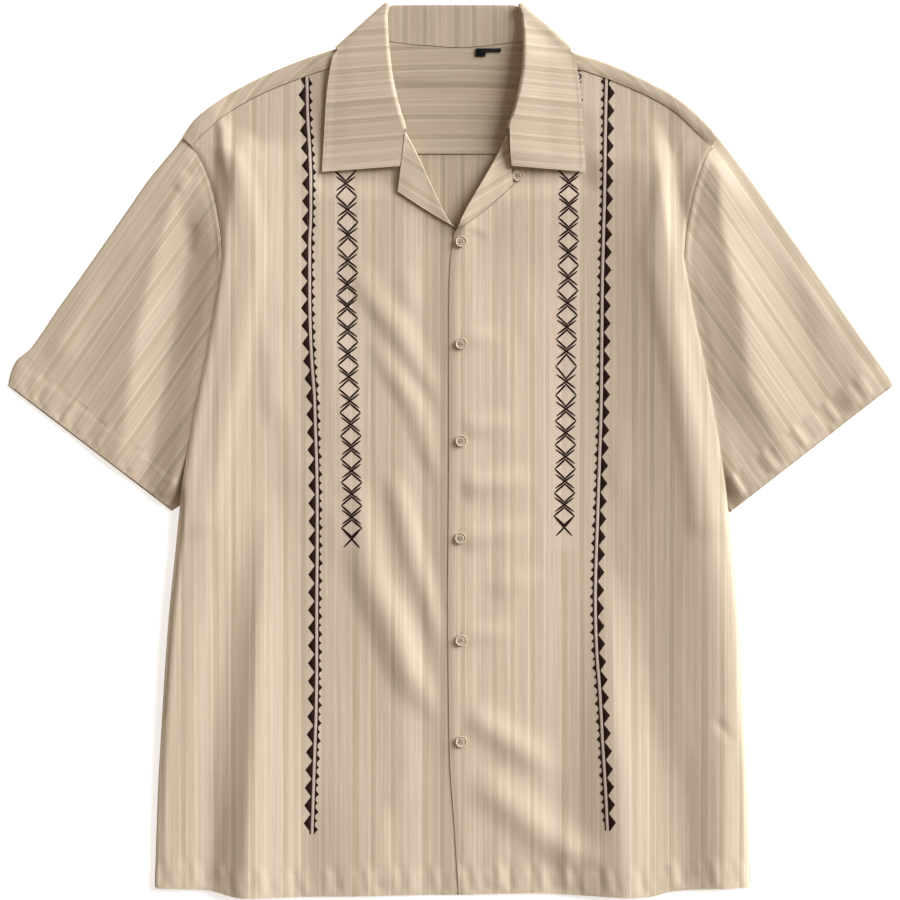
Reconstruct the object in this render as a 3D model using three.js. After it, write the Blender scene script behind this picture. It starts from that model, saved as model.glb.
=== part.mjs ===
// A short-sleeved camp collar shirt lying face up on a flat surface.
// Millimetres. +X is the wearer's left, +Y runs from the hem to the collar, +Z is up.
// The origin is under the middle of the shirt, on the surface that it lies on.
import * as THREE from 'three';

const CLOTH = 1.2;            // wall thickness of every cloth piece
const GAP = 0.3;              // air between two pieces that touch on the real shirt
const LAYER = CLOTH + GAP;    // from the middle of one layer to the middle of the next
const FLOOR_LAYER = CLOTH / 2;
const CENTRE_X = 3;           // middle of the collar and of the body

// Rows of numbers with named columns.
const table = (names, ...rows) =>
  rows.map((row) => Object.fromEntries(names.split(' ').map((name, k) => [name, row[k]])));

const clamp01 = (value) => Math.min(1, Math.max(0, value));
const mix = (a, b, t) => a + (b - a) * t;
const smooth = (from, to, value) => {
  const t = clamp01((value - from) / (to - from));
  return t * t * (3 - 2 * t);
};

// Value of a column at a place between two rows, where the rows are sorted by `key`.
function column(rows, key, name, value) {
  const rising = rows[rows.length - 1][key] > rows[0][key];
  for (let k = 0; k < rows.length - 1; k += 1) {
    const low = rows[k][key];
    const high = rows[k + 1][key];
    const inside = rising ? value <= high : value >= high;
    if (inside || k === rows.length - 2) {
      return mix(rows[k][name], rows[k + 1][name], clamp01((value - low) / (high - low)));
    }
  }
  return rows[0][name];
}

// Point at the fraction t of the length of a chain of points.
function along(points, t) {
  const lengths = [0];
  for (let k = 1; k < points.length; k += 1) {
    lengths.push(lengths[k - 1] + points[k].distanceTo(points[k - 1]));
  }
  const goal = clamp01(t) * lengths[lengths.length - 1];
  let k = 1;
  while (k < points.length - 1 && lengths[k] < goal) k += 1;
  const share = (goal - lengths[k - 1]) / (lengths[k] - lengths[k - 1]);
  return points[k - 1].clone().lerp(points[k], share);
}

const flat = (x, y) => new THREE.Vector2(x, y);
const UP = new THREE.Vector3(0, 0, 1);
const DOWN = new THREE.Vector3(0, 0, -1);

// A wall of cloth on a lattice of rows and columns. `place(i, j)` gives the middle of the
// cloth and the direction of its outer side, and `keep(i, j)` says which cells are cut out.
function wall({ rows, columns, place, ring = false, keep = () => true }) {
  const perRow = ring ? columns : columns + 1;
  const used = new Map();
  const positions = [];
  const vertex = (i, j) => {
    const id = i * perRow + (j % perRow);
    if (!used.has(id)) {
      const { middle, out } = place(i, j % perRow);
      const half = out.clone().setLength(CLOTH / 2);
      used.set(id, positions.length / 3);
      positions.push(...middle.clone().add(half).toArray(), ...middle.clone().sub(half).toArray());
    }
    return used.get(id);
  };
  const faces = [];
  const edges = new Map();
  for (let i = 0; i < rows; i += 1) {
    for (let j = 0; j < columns; j += 1) {
      if (!keep(i, j)) continue;
      const cell = [vertex(i, j), vertex(i + 1, j), vertex(i + 1, j + 1), vertex(i, j + 1)];
      faces.push([cell[0], cell[1], cell[2]], [cell[0], cell[2], cell[3]]);
      cell.forEach((a, k) => {
        const b = cell[(k + 1) % 4];
        if (edges.has(`${b} ${a}`)) edges.delete(`${b} ${a}`);
        else edges.set(`${a} ${b}`, [a, b]);
      });
    }
  }
  const index = [];
  faces.forEach(([a, b, c]) => index.push(a, b, c, c + 1, b + 1, a + 1));
  edges.forEach(([a, b]) => index.push(b, a, a + 1, b, a + 1, b + 1));
  const geometry = new THREE.BufferGeometry();
  geometry.setAttribute('position', new THREE.Float32BufferAttribute(positions, 3));
  geometry.setIndex(faceOut(positions, index));
  geometry.computeVertexNormals();
  return geometry;
}

// Turns every triangle round if the solid is inside out.
function faceOut(positions, index) {
  const corner = (k) => new THREE.Vector3().fromArray(positions, index[k] * 3);
  let volume = 0;
  for (let k = 0; k < index.length; k += 3) {
    volume += corner(k).dot(corner(k + 1).cross(corner(k + 2)));
  }
  return volume > 0 ? index : index.reverse();
}

// ---------------------------------------------------------------------------------------
// Outline of the body, seen from above. "right" and "left" are the wearer's.

const SIDE_EDGE = table('y right left',
  [-394, -266.2, 270.0],
  [-305, -263.2, 267.5],
  [-240, -259.5, 263.6],
  [-160, -254.3, 260.5],
  [-100, -248.4, 255.2],
  [-48, -242.6, 249.0],
  [24, -230.8, 238.2],
  [90, -217.3, 225.3],
  [131, -210.5, 216.5],
  [155, -206.2, 212.4],
  [172, -204.0, 209.4],
  [188, -204.7, 210.4],
  [212, -208.5, 214.3],
  [232, -213.3, 218.6],
  [252, -220.2, 224.7],
  [266, -227.5, 231.0],
  [275, -236.0, 239.0]);

// Where the back and the yoke meet the sleeves, under the fronts.
const BACK_EDGE = table('y right left',
  [-394, -266.0, 269.8],
  [-305, -263.0, 267.3],
  [-240, -259.3, 263.4],
  [-160, -254.1, 260.3],
  [-100, -248.2, 255.0],
  [-60, -243.4, 250.0],
  [-46, -238.5, 244.5],
  [-18, -227.5, 233.5],
  [45, -209.5, 216.0],
  [81, -200.5, 206.5],
  [120, -192.5, 198.0],
  [150, -191.5, 196.5],
  [182, -193.5, 198.5],
  [214, -198.5, 203.5],
  [232, -202.5, 207.5],
  [252, -209.5, 214.0],
  [266, -216.0, 220.0],
  [279, -226.0, 229.0],
  [287, -235.5, 235.5]);

const HEM = table('share right left',
  [0.00, -394.0, -394.4],
  [0.16, -396.0, -395.2],
  [0.27, -402.0, -397.5],
  [0.36, -402.4, -402.2],
  [0.55, -402.0, -401.0],
  [0.75, -401.0, -399.0],
  [1.00, -400.6, -400.4]);

// Front edges from the hem to the neck: the straight edge, the roll of the lapel from its
// break to the gorge, and the neckline.
const INNER_EDGE = {
  right: table('y x', [-402, 20.5], [172, 20.5], [186, 17.5], [194, 7.0], [203, -1.0],
    [229, -15.2], [258, -29.0], [284, -42.4], [295, -50.5], [313, -59.5], [334, -67.6],
    [352, -71.6]),
  left: table('y x', [-402, 7.6], [-330, 3.1], [-279, -0.5], [-239, -1.3], [-135, -2.1],
    [27, -1.1], [133, -1.1], [165, 0.0], [194, 3.6], [203, 9.4], [214, 15.0], [235, 27.2],
    [258, 40.6], [281, 52.4], [295, 58.5], [313, 67.0], [334, 76.0], [352, 81.0]),
};

// The shoulders: the fold at the very top, and the forward seam where the yoke ends.
const SHOULDER = table('rightX rightY leftX leftY rightSeamX rightSeamY leftSeamX leftSeamY',
  [-241.5, 281.0, 241.0, 281.0, -233.0, 273.5, 234.5, 272.5],
  [-231.0, 296.5, 228.0, 296.5, -221.5, 285.5, 222.0, 285.0],
  [-208.5, 314.5, 207.5, 314.5, -200.0, 303.5, 199.5, 306.0],
  [-177.0, 332.5, 176.0, 332.5, -171.0, 320.0, 171.0, 321.5],
  [-135.5, 350.5, 134.5, 350.5, -131.0, 336.0, 131.0, 337.5],
  [-109.5, 358.8, 113.0, 356.8, -106.0, 344.0, 111.0, 343.5],
  [-78.0, 367.5, 84.0, 366.0, -73.0, 353.0, 80.0, 352.5]);
const SEAM_TURN = 3.5;        // the front goes on this far beyond the forward seam, unseen
const STRIP_LAP = 0.45;       // share of the yoke's front strip that the front lies under

const NECK_SEAM = table('x y', [-75, 371], [-54.5, 367.2], [-34.6, 364.5], [-14.8, 363.2],
  [5, 361.8], [24.8, 362.7], [44.6, 364.9], [64.4, 367.2], [81, 370]);

// ---------------------------------------------------------------------------------------
// Heights. Each function gives how far the middle of a cloth layer lies above the floor.

// Ridges (height > 0) and troughs (height < 0) of the cloth: from, to, height and half width.
const FOLDS = table('x0 y0 x1 y1 height width fade0 fade1',
  [-216, -420, -206, -110, 8.0, 24, 0.02, 0.45],     // side ridge, right
  [-181, -420, -165, -95, -3.5, 13, 0.02, 0.45],     // hem crease, right
  [-153, -420, -142, -150, 6.5, 22, 0.02, 0.5],
  [-80, -420, -92, -230, 4.0, 26, 0.02, 0.7],
  [-74, -122, -22, -214, 5.5, 17, 0.3, 0.3],         // slanted folds beside the overlap
  [-46, -146, -6, -236, -3.5, 12, 0.3, 0.3],
  [-66, 40, -30, -70, 4.5, 18, 0.4, 0.4],
  [-118, 150, -96, -20, 3.5, 26, 0.4, 0.4],
  [-176, 235, -176, 60, 4.0, 24, 0.35, 0.5],         // below the armhole, right
  [-203, 294, -198, 205, -2.5, 10, 0.3, 0.4],
  [-204, 30, -214, -90, 4.0, 22, 0.4, 0.4],
  [188, -420, 182, -170, 8.0, 25, 0.02, 0.45],       // side ridge, left
  [160, -420, 154, -200, -3.5, 12, 0.02, 0.5],       // hem crease, left
  [124, -420, 126, -230, 4.5, 24, 0.02, 0.6],
  [26, -222, 78, -268, 4.5, 13, 0.35, 0.3],          // slanted folds beside the buttons
  [30, -292, 84, -352, 4.0, 13, 0.35, 0.3],
  [70, -60, 92, -200, 3.5, 24, 0.4, 0.4],
  [112, 150, 96, -30, 3.5, 26, 0.4, 0.4],
  [198, 262, 214, 120, 4.5, 15, 0.3, 0.4],           // below the armhole, left
  [176, 90, 196, -70, 3.5, 24, 0.4, 0.4]);

const SLEEVE_FOLDS = table('x0 y0 x1 y1 height width fade0 fade1',
  [-240, 236, -276, -24, 6.0, 20, 0.25, 0.25],
  [-300, 180, -345, 40, 3.5, 26, 0.4, 0.3],
  [-256, 226, -318, 132, 2.5, 16, 0.4, 0.4],
  [249, 236, 284, -18, 6.0, 20, 0.25, 0.25],
  [306, 170, 340, 40, 3.5, 26, 0.4, 0.3],
  [262, 232, 326, 140, 2.5, 16, 0.4, 0.4]);

function foldHeight(folds, x, y) {
  return folds.reduce((sum, fold) => {
    const dx = fold.x1 - fold.x0;
    const dy = fold.y1 - fold.y0;
    const share = ((x - fold.x0) * dx + (y - fold.y0) * dy) / (dx * dx + dy * dy);
    const t = clamp01(share);
    const away = Math.hypot(x - fold.x0 - dx * t, y - fold.y0 - dy * t) / fold.width;
    const ends = smooth(0, fold.fade0, t) * smooth(0, fold.fade1, 1 - t);
    return sum + fold.height * ends * Math.exp(-1.2 * away * away);
  }, 0);
}

const edgeAt = (rows, side, y) => column(rows, 'y', side, y);
const inward = (side, x, y) => Math.abs(x - edgeAt(SIDE_EDGE, side, y));

const COLLAR_REACH = 116;     // the collar covers this much each side of the middle
const FALL_EDGE = { y: 336, rise: 18, reach: 110 };
const fallEdge = (x) => FALL_EDGE.y + FALL_EDGE.rise * ((x - CENTRE_X) / FALL_EDGE.reach) ** 2;
const underCollar = (x) => 1 - smooth(COLLAR_REACH, COLLAR_REACH + 18, Math.abs(x - CENTRE_X));

const BREAK = { right: [-1, 203], left: [9.4, 203] };
const GORGE = { right: [-42.4, 284], left: [52.4, 281] };
const ROLL_RISE = { right: [2.6, 3.2], left: [6.6, 3.2] };   // at the break, at the gorge
const ROLL_REACH = 34;        // the rise dies out over this width
const BREAK_REACH = 24;       // and over this length below the break

function rollRise(side, x, y) {
  const [bx, by] = BREAK[side];
  const [gx, gy] = GORGE[side];
  const dx = gx - bx;
  const dy = gy - by;
  const share = ((x - bx) * dx + (y - by) * dy) / (dx * dx + dy * dy);
  const t = clamp01(share);
  const away = Math.hypot(x - bx - dx * t, y - by - dy * t);
  const near = clamp01(1 - away / (share < 0 ? BREAK_REACH : ROLL_REACH));
  return mix(ROLL_RISE[side][0], ROLL_RISE[side][1], t) * near * near;
}

function frontHeight(side, x, y) {
  const overSleeve = (1 - smooth(27, 44, inward(side, x, y))) * smooth(-86, -62, y);
  const overFall = underCollar(x) * smooth(288, 312, y);
  const lap = side === 'left' ? 1 - smooth(30, 46, x) : 0;
  const calm = smooth(4, 36, inward(side, x, y)) * (1 - smooth(224, 244, y) * underCollar(x))
    * (side === 'left' ? smooth(26, 52, x) : 1 - smooth(-44, -8, x)) * (1 - smooth(255, 282, y));
  const low = side === 'left' ? 1 : smooth(6, 20, inward(side, x, y));
  const puff = 3.2 * calm * low;
  const folds = foldHeight(FOLDS, x, y) * smooth(2, 30, inward(side, x, y))
    * (side === 'left' ? smooth(24, 46, x) : 1 - smooth(-30, -6, x))
    * (1 - smooth(224, 244, y) * underCollar(x));
  return FLOOR_LAYER + LAYER * (1 + overSleeve + overFall + lap)
    + Math.max(0, puff + folds) + rollRise(side, x, y);
}

// ---------------------------------------------------------------------------------------
// Fronts: a patch between the hem, the side, the forward seam and the front edge.

const ACROSS = [0, 0.035, 0.1, 0.16, 0.23, 0.31, 0.39, 0.47, 0.55, 0.63, 0.71, 0.79, 0.86,
  0.92, 0.96, 1];
const UPWARD = [0, 0.03, 0.07, 0.11, 0.15, 0.19, 0.23, 0.27, 0.31, 0.35, 0.39, 0.43, 0.47,
  0.51, 0.55, 0.59, 0.63, 0.67, 0.71, 0.75, 0.775, 0.79, 0.804, 0.83, 0.857, 0.884, 0.911,
  0.94, 0.97, 1];
const BREAK_ROW = UPWARD.indexOf(0.804);
const GORGE_ROW = UPWARD.indexOf(0.911);

const shoulderPath = (side, part) =>
  SHOULDER.map((row) => flat(row[`${side}${part}X`], row[`${side}${part}Y`]));

// The same station on the shoulder fold and on the forward seam.
function shoulderAt(side, s) {
  const station = s * (SHOULDER.length - 1);
  const k = Math.min(SHOULDER.length - 2, Math.floor(station));
  const share = station - k;
  const fold = shoulderPath(side, '');
  const seam = shoulderPath(side, 'Seam');
  return {
    fold: fold[k].clone().lerp(fold[k + 1], share),
    seam: seam[k].clone().lerp(seam[k + 1], share),
    along: fold[k + 1].clone().sub(fold[k]).normalize(),
  };
}

// Share of the shoulder's stations for each column, so that columns are spaced by length.
function shoulderShare(side, s) {
  const seam = shoulderPath(side, 'Seam');
  const goal = along(seam, s);
  let best = 0;
  let nearest = Infinity;
  for (let k = 0; k <= 600; k += 1) {
    const distance = shoulderAt(side, k / 600).seam.distanceTo(goal);
    if (distance < nearest) {
      nearest = distance;
      best = k / 600;
    }
  }
  return best;
}

function frontBorder(side) {
  const top = (s) => {
    const { fold, seam } = shoulderAt(side, shoulderShare(side, s));
    const down = seam.clone().sub(fold).setLength(SEAM_TURN);
    return seam.clone().add(down);
  };
  const low = SIDE_EDGE[0].y;
  const outerTop = top(0);
  const innerTop = top(1);
  const outer = (t) => {
    const y = mix(low, outerTop.y, t);
    return flat(edgeAt(SIDE_EDGE, side, y), y);
  };
  const hemEnd = flat(INNER_EDGE[side][0].x, HEM[HEM.length - 1][side]);
  const inner = (t) => {
    const y = mix(hemEnd.y, innerTop.y, t);
    return flat(column(INNER_EDGE[side], 'y', 'x', y), y);
  };
  const hem = (s) => flat(mix(outer(0).x, hemEnd.x, s), column(HEM, 'share', side, s));
  return { hem, outer, inner, top };
}

// Blends the four borders, as a patch between four curves.
function patch({ hem, outer, inner, top }) {
  return (s, t) => {
    const point = flat(0, 0);
    point.addScaledVector(hem(s), 1 - t).addScaledVector(top(s), t);
    point.addScaledVector(outer(t), 1 - s).addScaledVector(inner(t), s);
    point.addScaledVector(hem(0), -(1 - s) * (1 - t)).addScaledVector(hem(1), -s * (1 - t));
    point.addScaledVector(top(0), -(1 - s) * t).addScaledVector(top(1), -s * t);
    return point;
  };
}

// Height of the front and of the strip above it, at a station of the shoulder.
function shoulderHeight(side, s) {
  const { seam } = shoulderAt(side, shoulderShare(side, s));
  return frontHeight(side, seam.x, Math.min(seam.y, 400));
}

function front(side) {
  const at = patch(frontBorder(side));
  const last = UPWARD.length - 1;
  const place = (i, j) => {
    const s = ACROSS[j];
    if (i >= last) {
      const { fold, seam } = shoulderAt(side, shoulderShare(side, s));
      const point = i === last ? at(s, 1) : seam.clone().lerp(fold, STRIP_LAP);
      return { middle: new THREE.Vector3(point.x, point.y, shoulderHeight(side, s)), out: UP };
    }
    const { x, y } = at(s, UPWARD[i]);
    return { middle: new THREE.Vector3(x, y, frontHeight(side, x, y)), out: UP };
  };
  return wall({ rows: last + 1, columns: ACROSS.length - 1, place });
}

// ---------------------------------------------------------------------------------------
// Back: one flat panel under everything.

const YOKE_SEAM_Y = 266.4;
const BACK_ROWS = [-394, -350, -305, -240, -160, -100, -60, -46, -18, 45, 81, 120, 150, 182,
  214, 232, 252, YOKE_SEAM_Y - GAP];
const BACK_COLUMNS = 12;

function back() {
  const place = (i, j) => {
    const y = BACK_ROWS[i];
    const share = j / BACK_COLUMNS;
    const x = mix(edgeAt(BACK_EDGE, 'right', y), edgeAt(BACK_EDGE, 'left', y), share);
    const droop = i === 0 ? backHem(x) : y;
    return { middle: new THREE.Vector3(x, droop, FLOOR_LAYER), out: UP };
  };
  return wall({ rows: BACK_ROWS.length - 1, columns: BACK_COLUMNS, place });
}

// The back's hem follows the fronts' hem, a little shorter.
function backHem(x) {
  const side = x < CENTRE_X ? 'right' : 'left';
  const share = 1 - Math.abs(x - CENTRE_X) / Math.abs(SIDE_EDGE[0][side] - CENTRE_X);
  return column(HEM, 'share', side, share) + 1.2;
}

// ---------------------------------------------------------------------------------------
// Yoke: a back layer, a fold over each shoulder and a narrow strip on each front.

const FIRST_TURN = 2;         // the first column with a fold, clear of the sleeve's end
const TURN_STEPS = 4;
const YOKE_FLAT_ROWS = 4;

function yoke() {
  const strips = ACROSS.map((s) => ({ side: 'right', s }))
    .concat(NECK_SEAM.slice(1, -1).map((neck) => ({ neck })))
    .concat(ACROSS.map((s) => ({ side: 'left', s })).reverse());
  const columns = strips.map((strip, j) => yokeColumn(strip, j, strips.length - 1));
  const place = (i, j) => columns[j](i);
  const isStrip = (j) => Boolean(strips[j].side && strips[j + 1].side === strips[j].side);
  const hasFold = (j) => Math.min(j, strips.length - 2 - j) >= FIRST_TURN;
  const keep = (i, j) => {
    if (i < YOKE_FLAT_ROWS) return hasFold(j);
    if (i < YOKE_FLAT_ROWS + TURN_STEPS) return isStrip(j) && hasFold(j);
    return isStrip(j);
  };
  const rows = YOKE_FLAT_ROWS + TURN_STEPS + 1;
  return wall({ rows, columns: strips.length - 1, place, keep });
}

function yokeColumn(strip, j, lastColumn) {
  const share = clamp01((j - FIRST_TURN) / (lastColumn - 2 * FIRST_TURN));
  const [rightEnd, leftEnd] = ['right', 'left'].map((side) => edgeAt(BACK_EDGE, side, YOKE_SEAM_Y));
  const foot = flat(mix(rightEnd, leftEnd, share), YOKE_SEAM_Y);
  if (!strip.side) {
    const top = flat(strip.neck.x, strip.neck.y - GAP);
    return (i) => yokeFlat(foot, top, i);
  }
  const { fold, seam, along: run } = shoulderAt(strip.side, shoulderShare(strip.side, strip.s));
  const outward = strip.side === 'right' ? flat(-run.y, run.x) : flat(run.y, -run.x);
  if (outward.y < 0) outward.negate();
  const strips = shoulderHeight(strip.side, strip.s) + LAYER;
  const low = yokeRise(fold.x, fold.y - 8);
  const radius = (strips - low) / 2;
  const centre = fold.clone().addScaledVector(outward, -(radius + CLOTH / 2));
  return (i) => {
    if (i < YOKE_FLAT_ROWS) return yokeFlat(foot, centre, i);
    if (i > YOKE_FLAT_ROWS + TURN_STEPS) {
      return { middle: new THREE.Vector3(seam.x, seam.y, strips), out: UP };
    }
    const angle = -Math.PI / 2 + Math.PI * (i - YOKE_FLAT_ROWS) / TURN_STEPS;
    const reach = Math.cos(angle);
    const out = new THREE.Vector3(outward.x * reach, outward.y * reach, Math.sin(angle));
    const middle = new THREE.Vector3(centre.x, centre.y, low + radius).addScaledVector(out, radius);
    return { middle, out };
  };
}

// The yoke lies over the collar's fall near the neck, and on the floor elsewhere.
function yokeRise(x, y) {
  const near = 1 - smooth(COLLAR_REACH - 2, COLLAR_REACH + 12, Math.abs(x - CENTRE_X));
  return FLOOR_LAYER + LAYER * near * smooth(fallEdge(x) - 15, fallEdge(x) - 3, y);
}

// Rows of the back layer: the seam, one between, the start and the end of the rise, the top.
function yokeFlat(foot, top, i) {
  const middleX = mix(foot.x, top.x, 0.7);
  const stops = [foot.y, 0, fallEdge(middleX) - 16, fallEdge(middleX) - 2.5, top.y];
  stops[2] = Math.min(stops[2], mix(foot.y, top.y, 0.8));
  stops[3] = Math.min(stops[3], mix(stops[2], top.y, 0.6));
  stops[1] = (stops[0] + stops[2]) / 2;
  const point = foot.clone().lerp(top, (stops[i] - foot.y) / (top.y - foot.y));
  return { middle: new THREE.Vector3(point.x, point.y, yokeRise(point.x, point.y)), out: DOWN };
}

// ---------------------------------------------------------------------------------------
// A strip of cloth bent back on itself: under layer, roll and top layer.

const ROLL_STEPS = 4;

// Each section has the middle of its roll, the edges of both layers, the distance between
// the layers at the roll, and the direction from the under layer to the top layer.
function hairpin({ sections, under, over, keep }) {
  const columns = under + ROLL_STEPS + over;
  const place = (i, j) => {
    const { roll, low, high, spread, rise } = sections[i];
    const half = rise.clone().multiplyScalar(spread / 2);
    const start = high.clone().sub(roll);
    const forward = start.addScaledVector(rise, -start.dot(rise)).normalize().negate();
    if (j <= under) {
      const from = roll.clone().sub(half);
      return { middle: low.clone().lerp(from, j / under), out: rise.clone().negate() };
    }
    if (j >= under + ROLL_STEPS) {
      const from = roll.clone().add(half);
      return { middle: from.lerp(high, (j - under - ROLL_STEPS) / over), out: rise.clone() };
    }
    const angle = -Math.PI / 2 + Math.PI * (j - under) / ROLL_STEPS;
    const out = forward.clone().multiplyScalar(Math.cos(angle)).addScaledVector(rise, Math.sin(angle));
    return { middle: roll.clone().addScaledVector(out, spread / 2), out };
  };
  return wall({ rows: sections.length - 1, columns, place, keep });
}

// Lapels: from the gorge to the break. The facing turns round the front's edge.
const LAPEL = {
  right: { peak: [-47.4, 231.8], tip: [4.5, 199.5], sag: 0.8 },
  left: { peak: [56.2, 239.0], tip: [6.0, 197.5], sag: 2.2 },
};
const LAPEL_ROOM = LAYER + 0.5;   // from the front to each layer of the facing
const LAPEL_HOLD = 6;         // width of the facing that lies behind the front's edge
const LAPEL_TURN = 1.2;       // from the front's edge to the middle of the roll

function lapel(side) {
  const { peak, tip, sag } = LAPEL[side];
  const away = side === 'right' ? -1 : 1;
  const { inner } = frontBorder(side);
  const edges = [];
  for (let row = GORGE_ROW; row > BREAK_ROW; row -= 1) {
    const from = inner(UPWARD[row]);
    const to = inner(UPWARD[row - 1]);
    edges.push(from, from.clone().lerp(to, 0.5));
    if (row === BREAK_ROW + 1) edges.push(to);
  }
  const level = (point) => frontHeight(side, point.x, point.y);
  const sections = edges.map((edge, k) => {
    const share = k / (edges.length - 1);
    const odd = k % 2 === 1;
    const height = odd ? (level(edges[k - 1]) + level(edges[k + 1])) / 2 : level(edge);
    const bow = Math.sin(Math.PI * share) * sag;
    const high = flat(mix(peak[0], tip[0], share), mix(peak[1], tip[1], share) - bow);
    const low = edge.clone().add(flat(away * LAPEL_HOLD, -2));
    const under = Math.max(level(low) - LAPEL_ROOM, FLOOR_LAYER + LAYER);
    return {
      roll: new THREE.Vector3(edge.x - away * LAPEL_TURN, edge.y, height),
      high: new THREE.Vector3(high.x, high.y, level(high) + LAPEL_ROOM + 0.8),
      low: new THREE.Vector3(low.x, low.y, under),
      spread: 2 * LAPEL_ROOM,
      rise: UP,
    };
  });
  return hairpin({ sections, under: 1, over: 4 });
}

// ---------------------------------------------------------------------------------------
// Collar: a low stand from the neck seam to the roll, and a wide fall from the roll to its
// outer edge. It folds flat at both sides, so that the back fall lies under the yoke.

// Half of the collar, from the front end to the middle of the back. Distances are from the
// collar's middle line. "roll" is the middle of the bend between the stand and the fall,
// "spread" the distance between them there, and "edge" the outer edge of the fall.
const COLLAR = table(
  'rollRight rollLeft rollY rollZ spread edgeX edgeY edgeZ neckX neckY neckZ',
  [48.4, 51.9, 254.5, 6.2, 3.0, 118.5, 249.5, 5.6, 50.0, 262.0, 5.0],
  [46.5, 50.4, 269.0, 6.4, 3.0, 117.5, 262.0, 5.6, 48.0, 276.0, 5.0],
  [44.9, 50.0, 287.5, 6.8, 3.4, 116.4, 277.0, 5.8, 49.6, 293.6, 5.2],
  [49.5, 55.2, 303.5, 7.8, 4.4, 115.2, 292.5, 6.2, 58.4, 310.4, 4.4],
  [54.4, 59.7, 322.0, 8.2, 5.0, 114.2, 309.5, 7.0, 66.2, 330.0, 3.8],
  [58.2, 63.3, 344.0, 8.2, 5.0, 113.2, 326.5, 7.8, 71.6, 350.0, 3.7],
  [60.4, 64.0, 368.0, 7.8, 4.6, 112.4, 342.0, 8.4, 77.0, 362.5, 3.7],
  [61.6, 62.6, 390.0, 7.2, 4.0, 111.4, 354.0, 8.4, 80.5, 371.5, 3.8]);
const SIDE_FOLD = { roll: [61.3, 400.2], edge: [110.6, 361.2], neck: [82.5, 374.6] };
const FOLD_HEIGHTS = {
  roll: { low: 1.35, high: 7.0 },
  edge: { low: FLOOR_LAYER, high: 8.0 },
  neck: { low: FLOOR_LAYER + LAYER, high: 3.8 },
};
const FOLD_SPREAD = { low: LAYER, high: 4.0 };
const FOLD_TURNS = [36, 72, 108, 144, 180];   // degrees round the side fold, to the back
const BACK_SECTIONS = [0.82, 0.6, 0.4, 0.2, 0];      // shares of the half width of the back
const BACK_REACH = { roll: 58, edge: 104, neck: 76 };
const BACK_ROLL_Y = 399.5;

function collarHalf(sign) {
  const x = (value) => CENTRE_X + sign * value;
  const sections = COLLAR.map((row) => ({
    roll: new THREE.Vector3(x(sign < 0 ? row.rollRight : row.rollLeft), row.rollY, row.rollZ),
    high: new THREE.Vector3(x(row.edgeX), row.edgeY, row.edgeZ),
    low: new THREE.Vector3(x(row.neckX), row.neckY, row.neckZ),
    spread: row.spread,
    rise: UP,
  }));
  const run = flat(...SIDE_FOLD.edge).sub(flat(...SIDE_FOLD.roll)).normalize();
  const outward = new THREE.Vector3(-sign * run.y, run.x, 0);
  FOLD_TURNS.forEach((degrees) => {
    const angle = THREE.MathUtils.degToRad(degrees);
    const turned = (name) => {
      const { low, high } = FOLD_HEIGHTS[name];
      const [px, py] = SIDE_FOLD[name];
      const radius = (high - low) / 2;
      return new THREE.Vector3(x(px), py, (high + low) / 2 + radius * Math.cos(angle))
        .addScaledVector(outward, radius * (Math.sin(angle) - 1));
    };
    sections.push({
      roll: turned('roll'),
      high: turned('edge'),
      low: turned('neck'),
      spread: mix(FOLD_SPREAD.low, FOLD_SPREAD.high, (1 + Math.cos(angle)) / 2),
      rise: outward.clone().multiplyScalar(Math.sin(angle)).addScaledVector(UP, Math.cos(angle)),
    });
  });
  BACK_SECTIONS.forEach((share) => {
    const rollX = x(share * BACK_REACH.roll);
    const edgeX = x(share * BACK_REACH.edge);
    const neckX = x(share * BACK_REACH.neck);
    sections.push({
      roll: new THREE.Vector3(rollX, BACK_ROLL_Y, FOLD_HEIGHTS.roll.low),
      high: new THREE.Vector3(edgeX, fallEdge(edgeX), FLOOR_LAYER),
      low: new THREE.Vector3(neckX, backNeck(neckX), FLOOR_LAYER + LAYER),
      spread: LAYER,
      rise: DOWN,
    });
  });
  return sections;
}

const backNeck = (x) => column(NECK_SEAM, 'x', 'y', x) + GAP;

function collar() {
  const rightHalf = collarHalf(-1);
  const leftHalf = collarHalf(1).reverse().slice(1);
  const sections = rightHalf.concat(leftHalf);
  const under = 2;
  const ends = 2;
  const keep = (i, j) => {
    const fromEnd = Math.min(i, sections.length - 2 - i);
    return fromEnd >= ends || j >= under + ROLL_STEPS;
  };
  return hairpin({ sections, under, over: 4, keep });
}

// ---------------------------------------------------------------------------------------
// Sleeves: flattened tubes from the armhole to the cuff.

// The armhole end, the fold along the top, the cuff and the fold at the underarm.
const SLEEVE = {
  right: {
    top: table('x y', [-236.3, 287.0], [-246, 274], [-270.4, 244.3], [-297.4, 205.7],
      [-324.4, 167], [-351.4, 129.2], [-378.4, 90.5], [-391.1, 79.3], [-396.5, 66],
      [-398.3, 57.1]),
    under: table('x y', [-201.2, 81], [-210.2, 45], [-228.2, -18], [-239.4, -46],
      [-251.2, -55.2]),
  },
  left: {
    top: table('x y', [236.3, 287.0], [246, 275], [270.4, 242.6], [295.7, 206.6],
      [320.9, 170.6], [346.1, 134.6], [371.2, 98.5], [390, 72], [396, 63], [398.3, 57.1]),
    under: table('x y', [207.2, 81], [216.7, 45], [234.2, -18], [245.4, -46], [252.1, -56.6]),
  },
};
const ARMHOLE_ROWS = [287, 279, 266, 252, 232, 214, 182, 150, 120, 81];
const SLEEVE_RINGS = [0, 0.09, 0.18, 0.28, 0.38, 0.48, 0.58, 0.68, 0.78, 0.88, 0.95, 1];
const SLEEVE_ACROSS = [0.02, 0.06, 0.14, 0.24, 0.34, 0.44, 0.54, 0.64, 0.74, 0.84, 0.92, 0.98];

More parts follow.
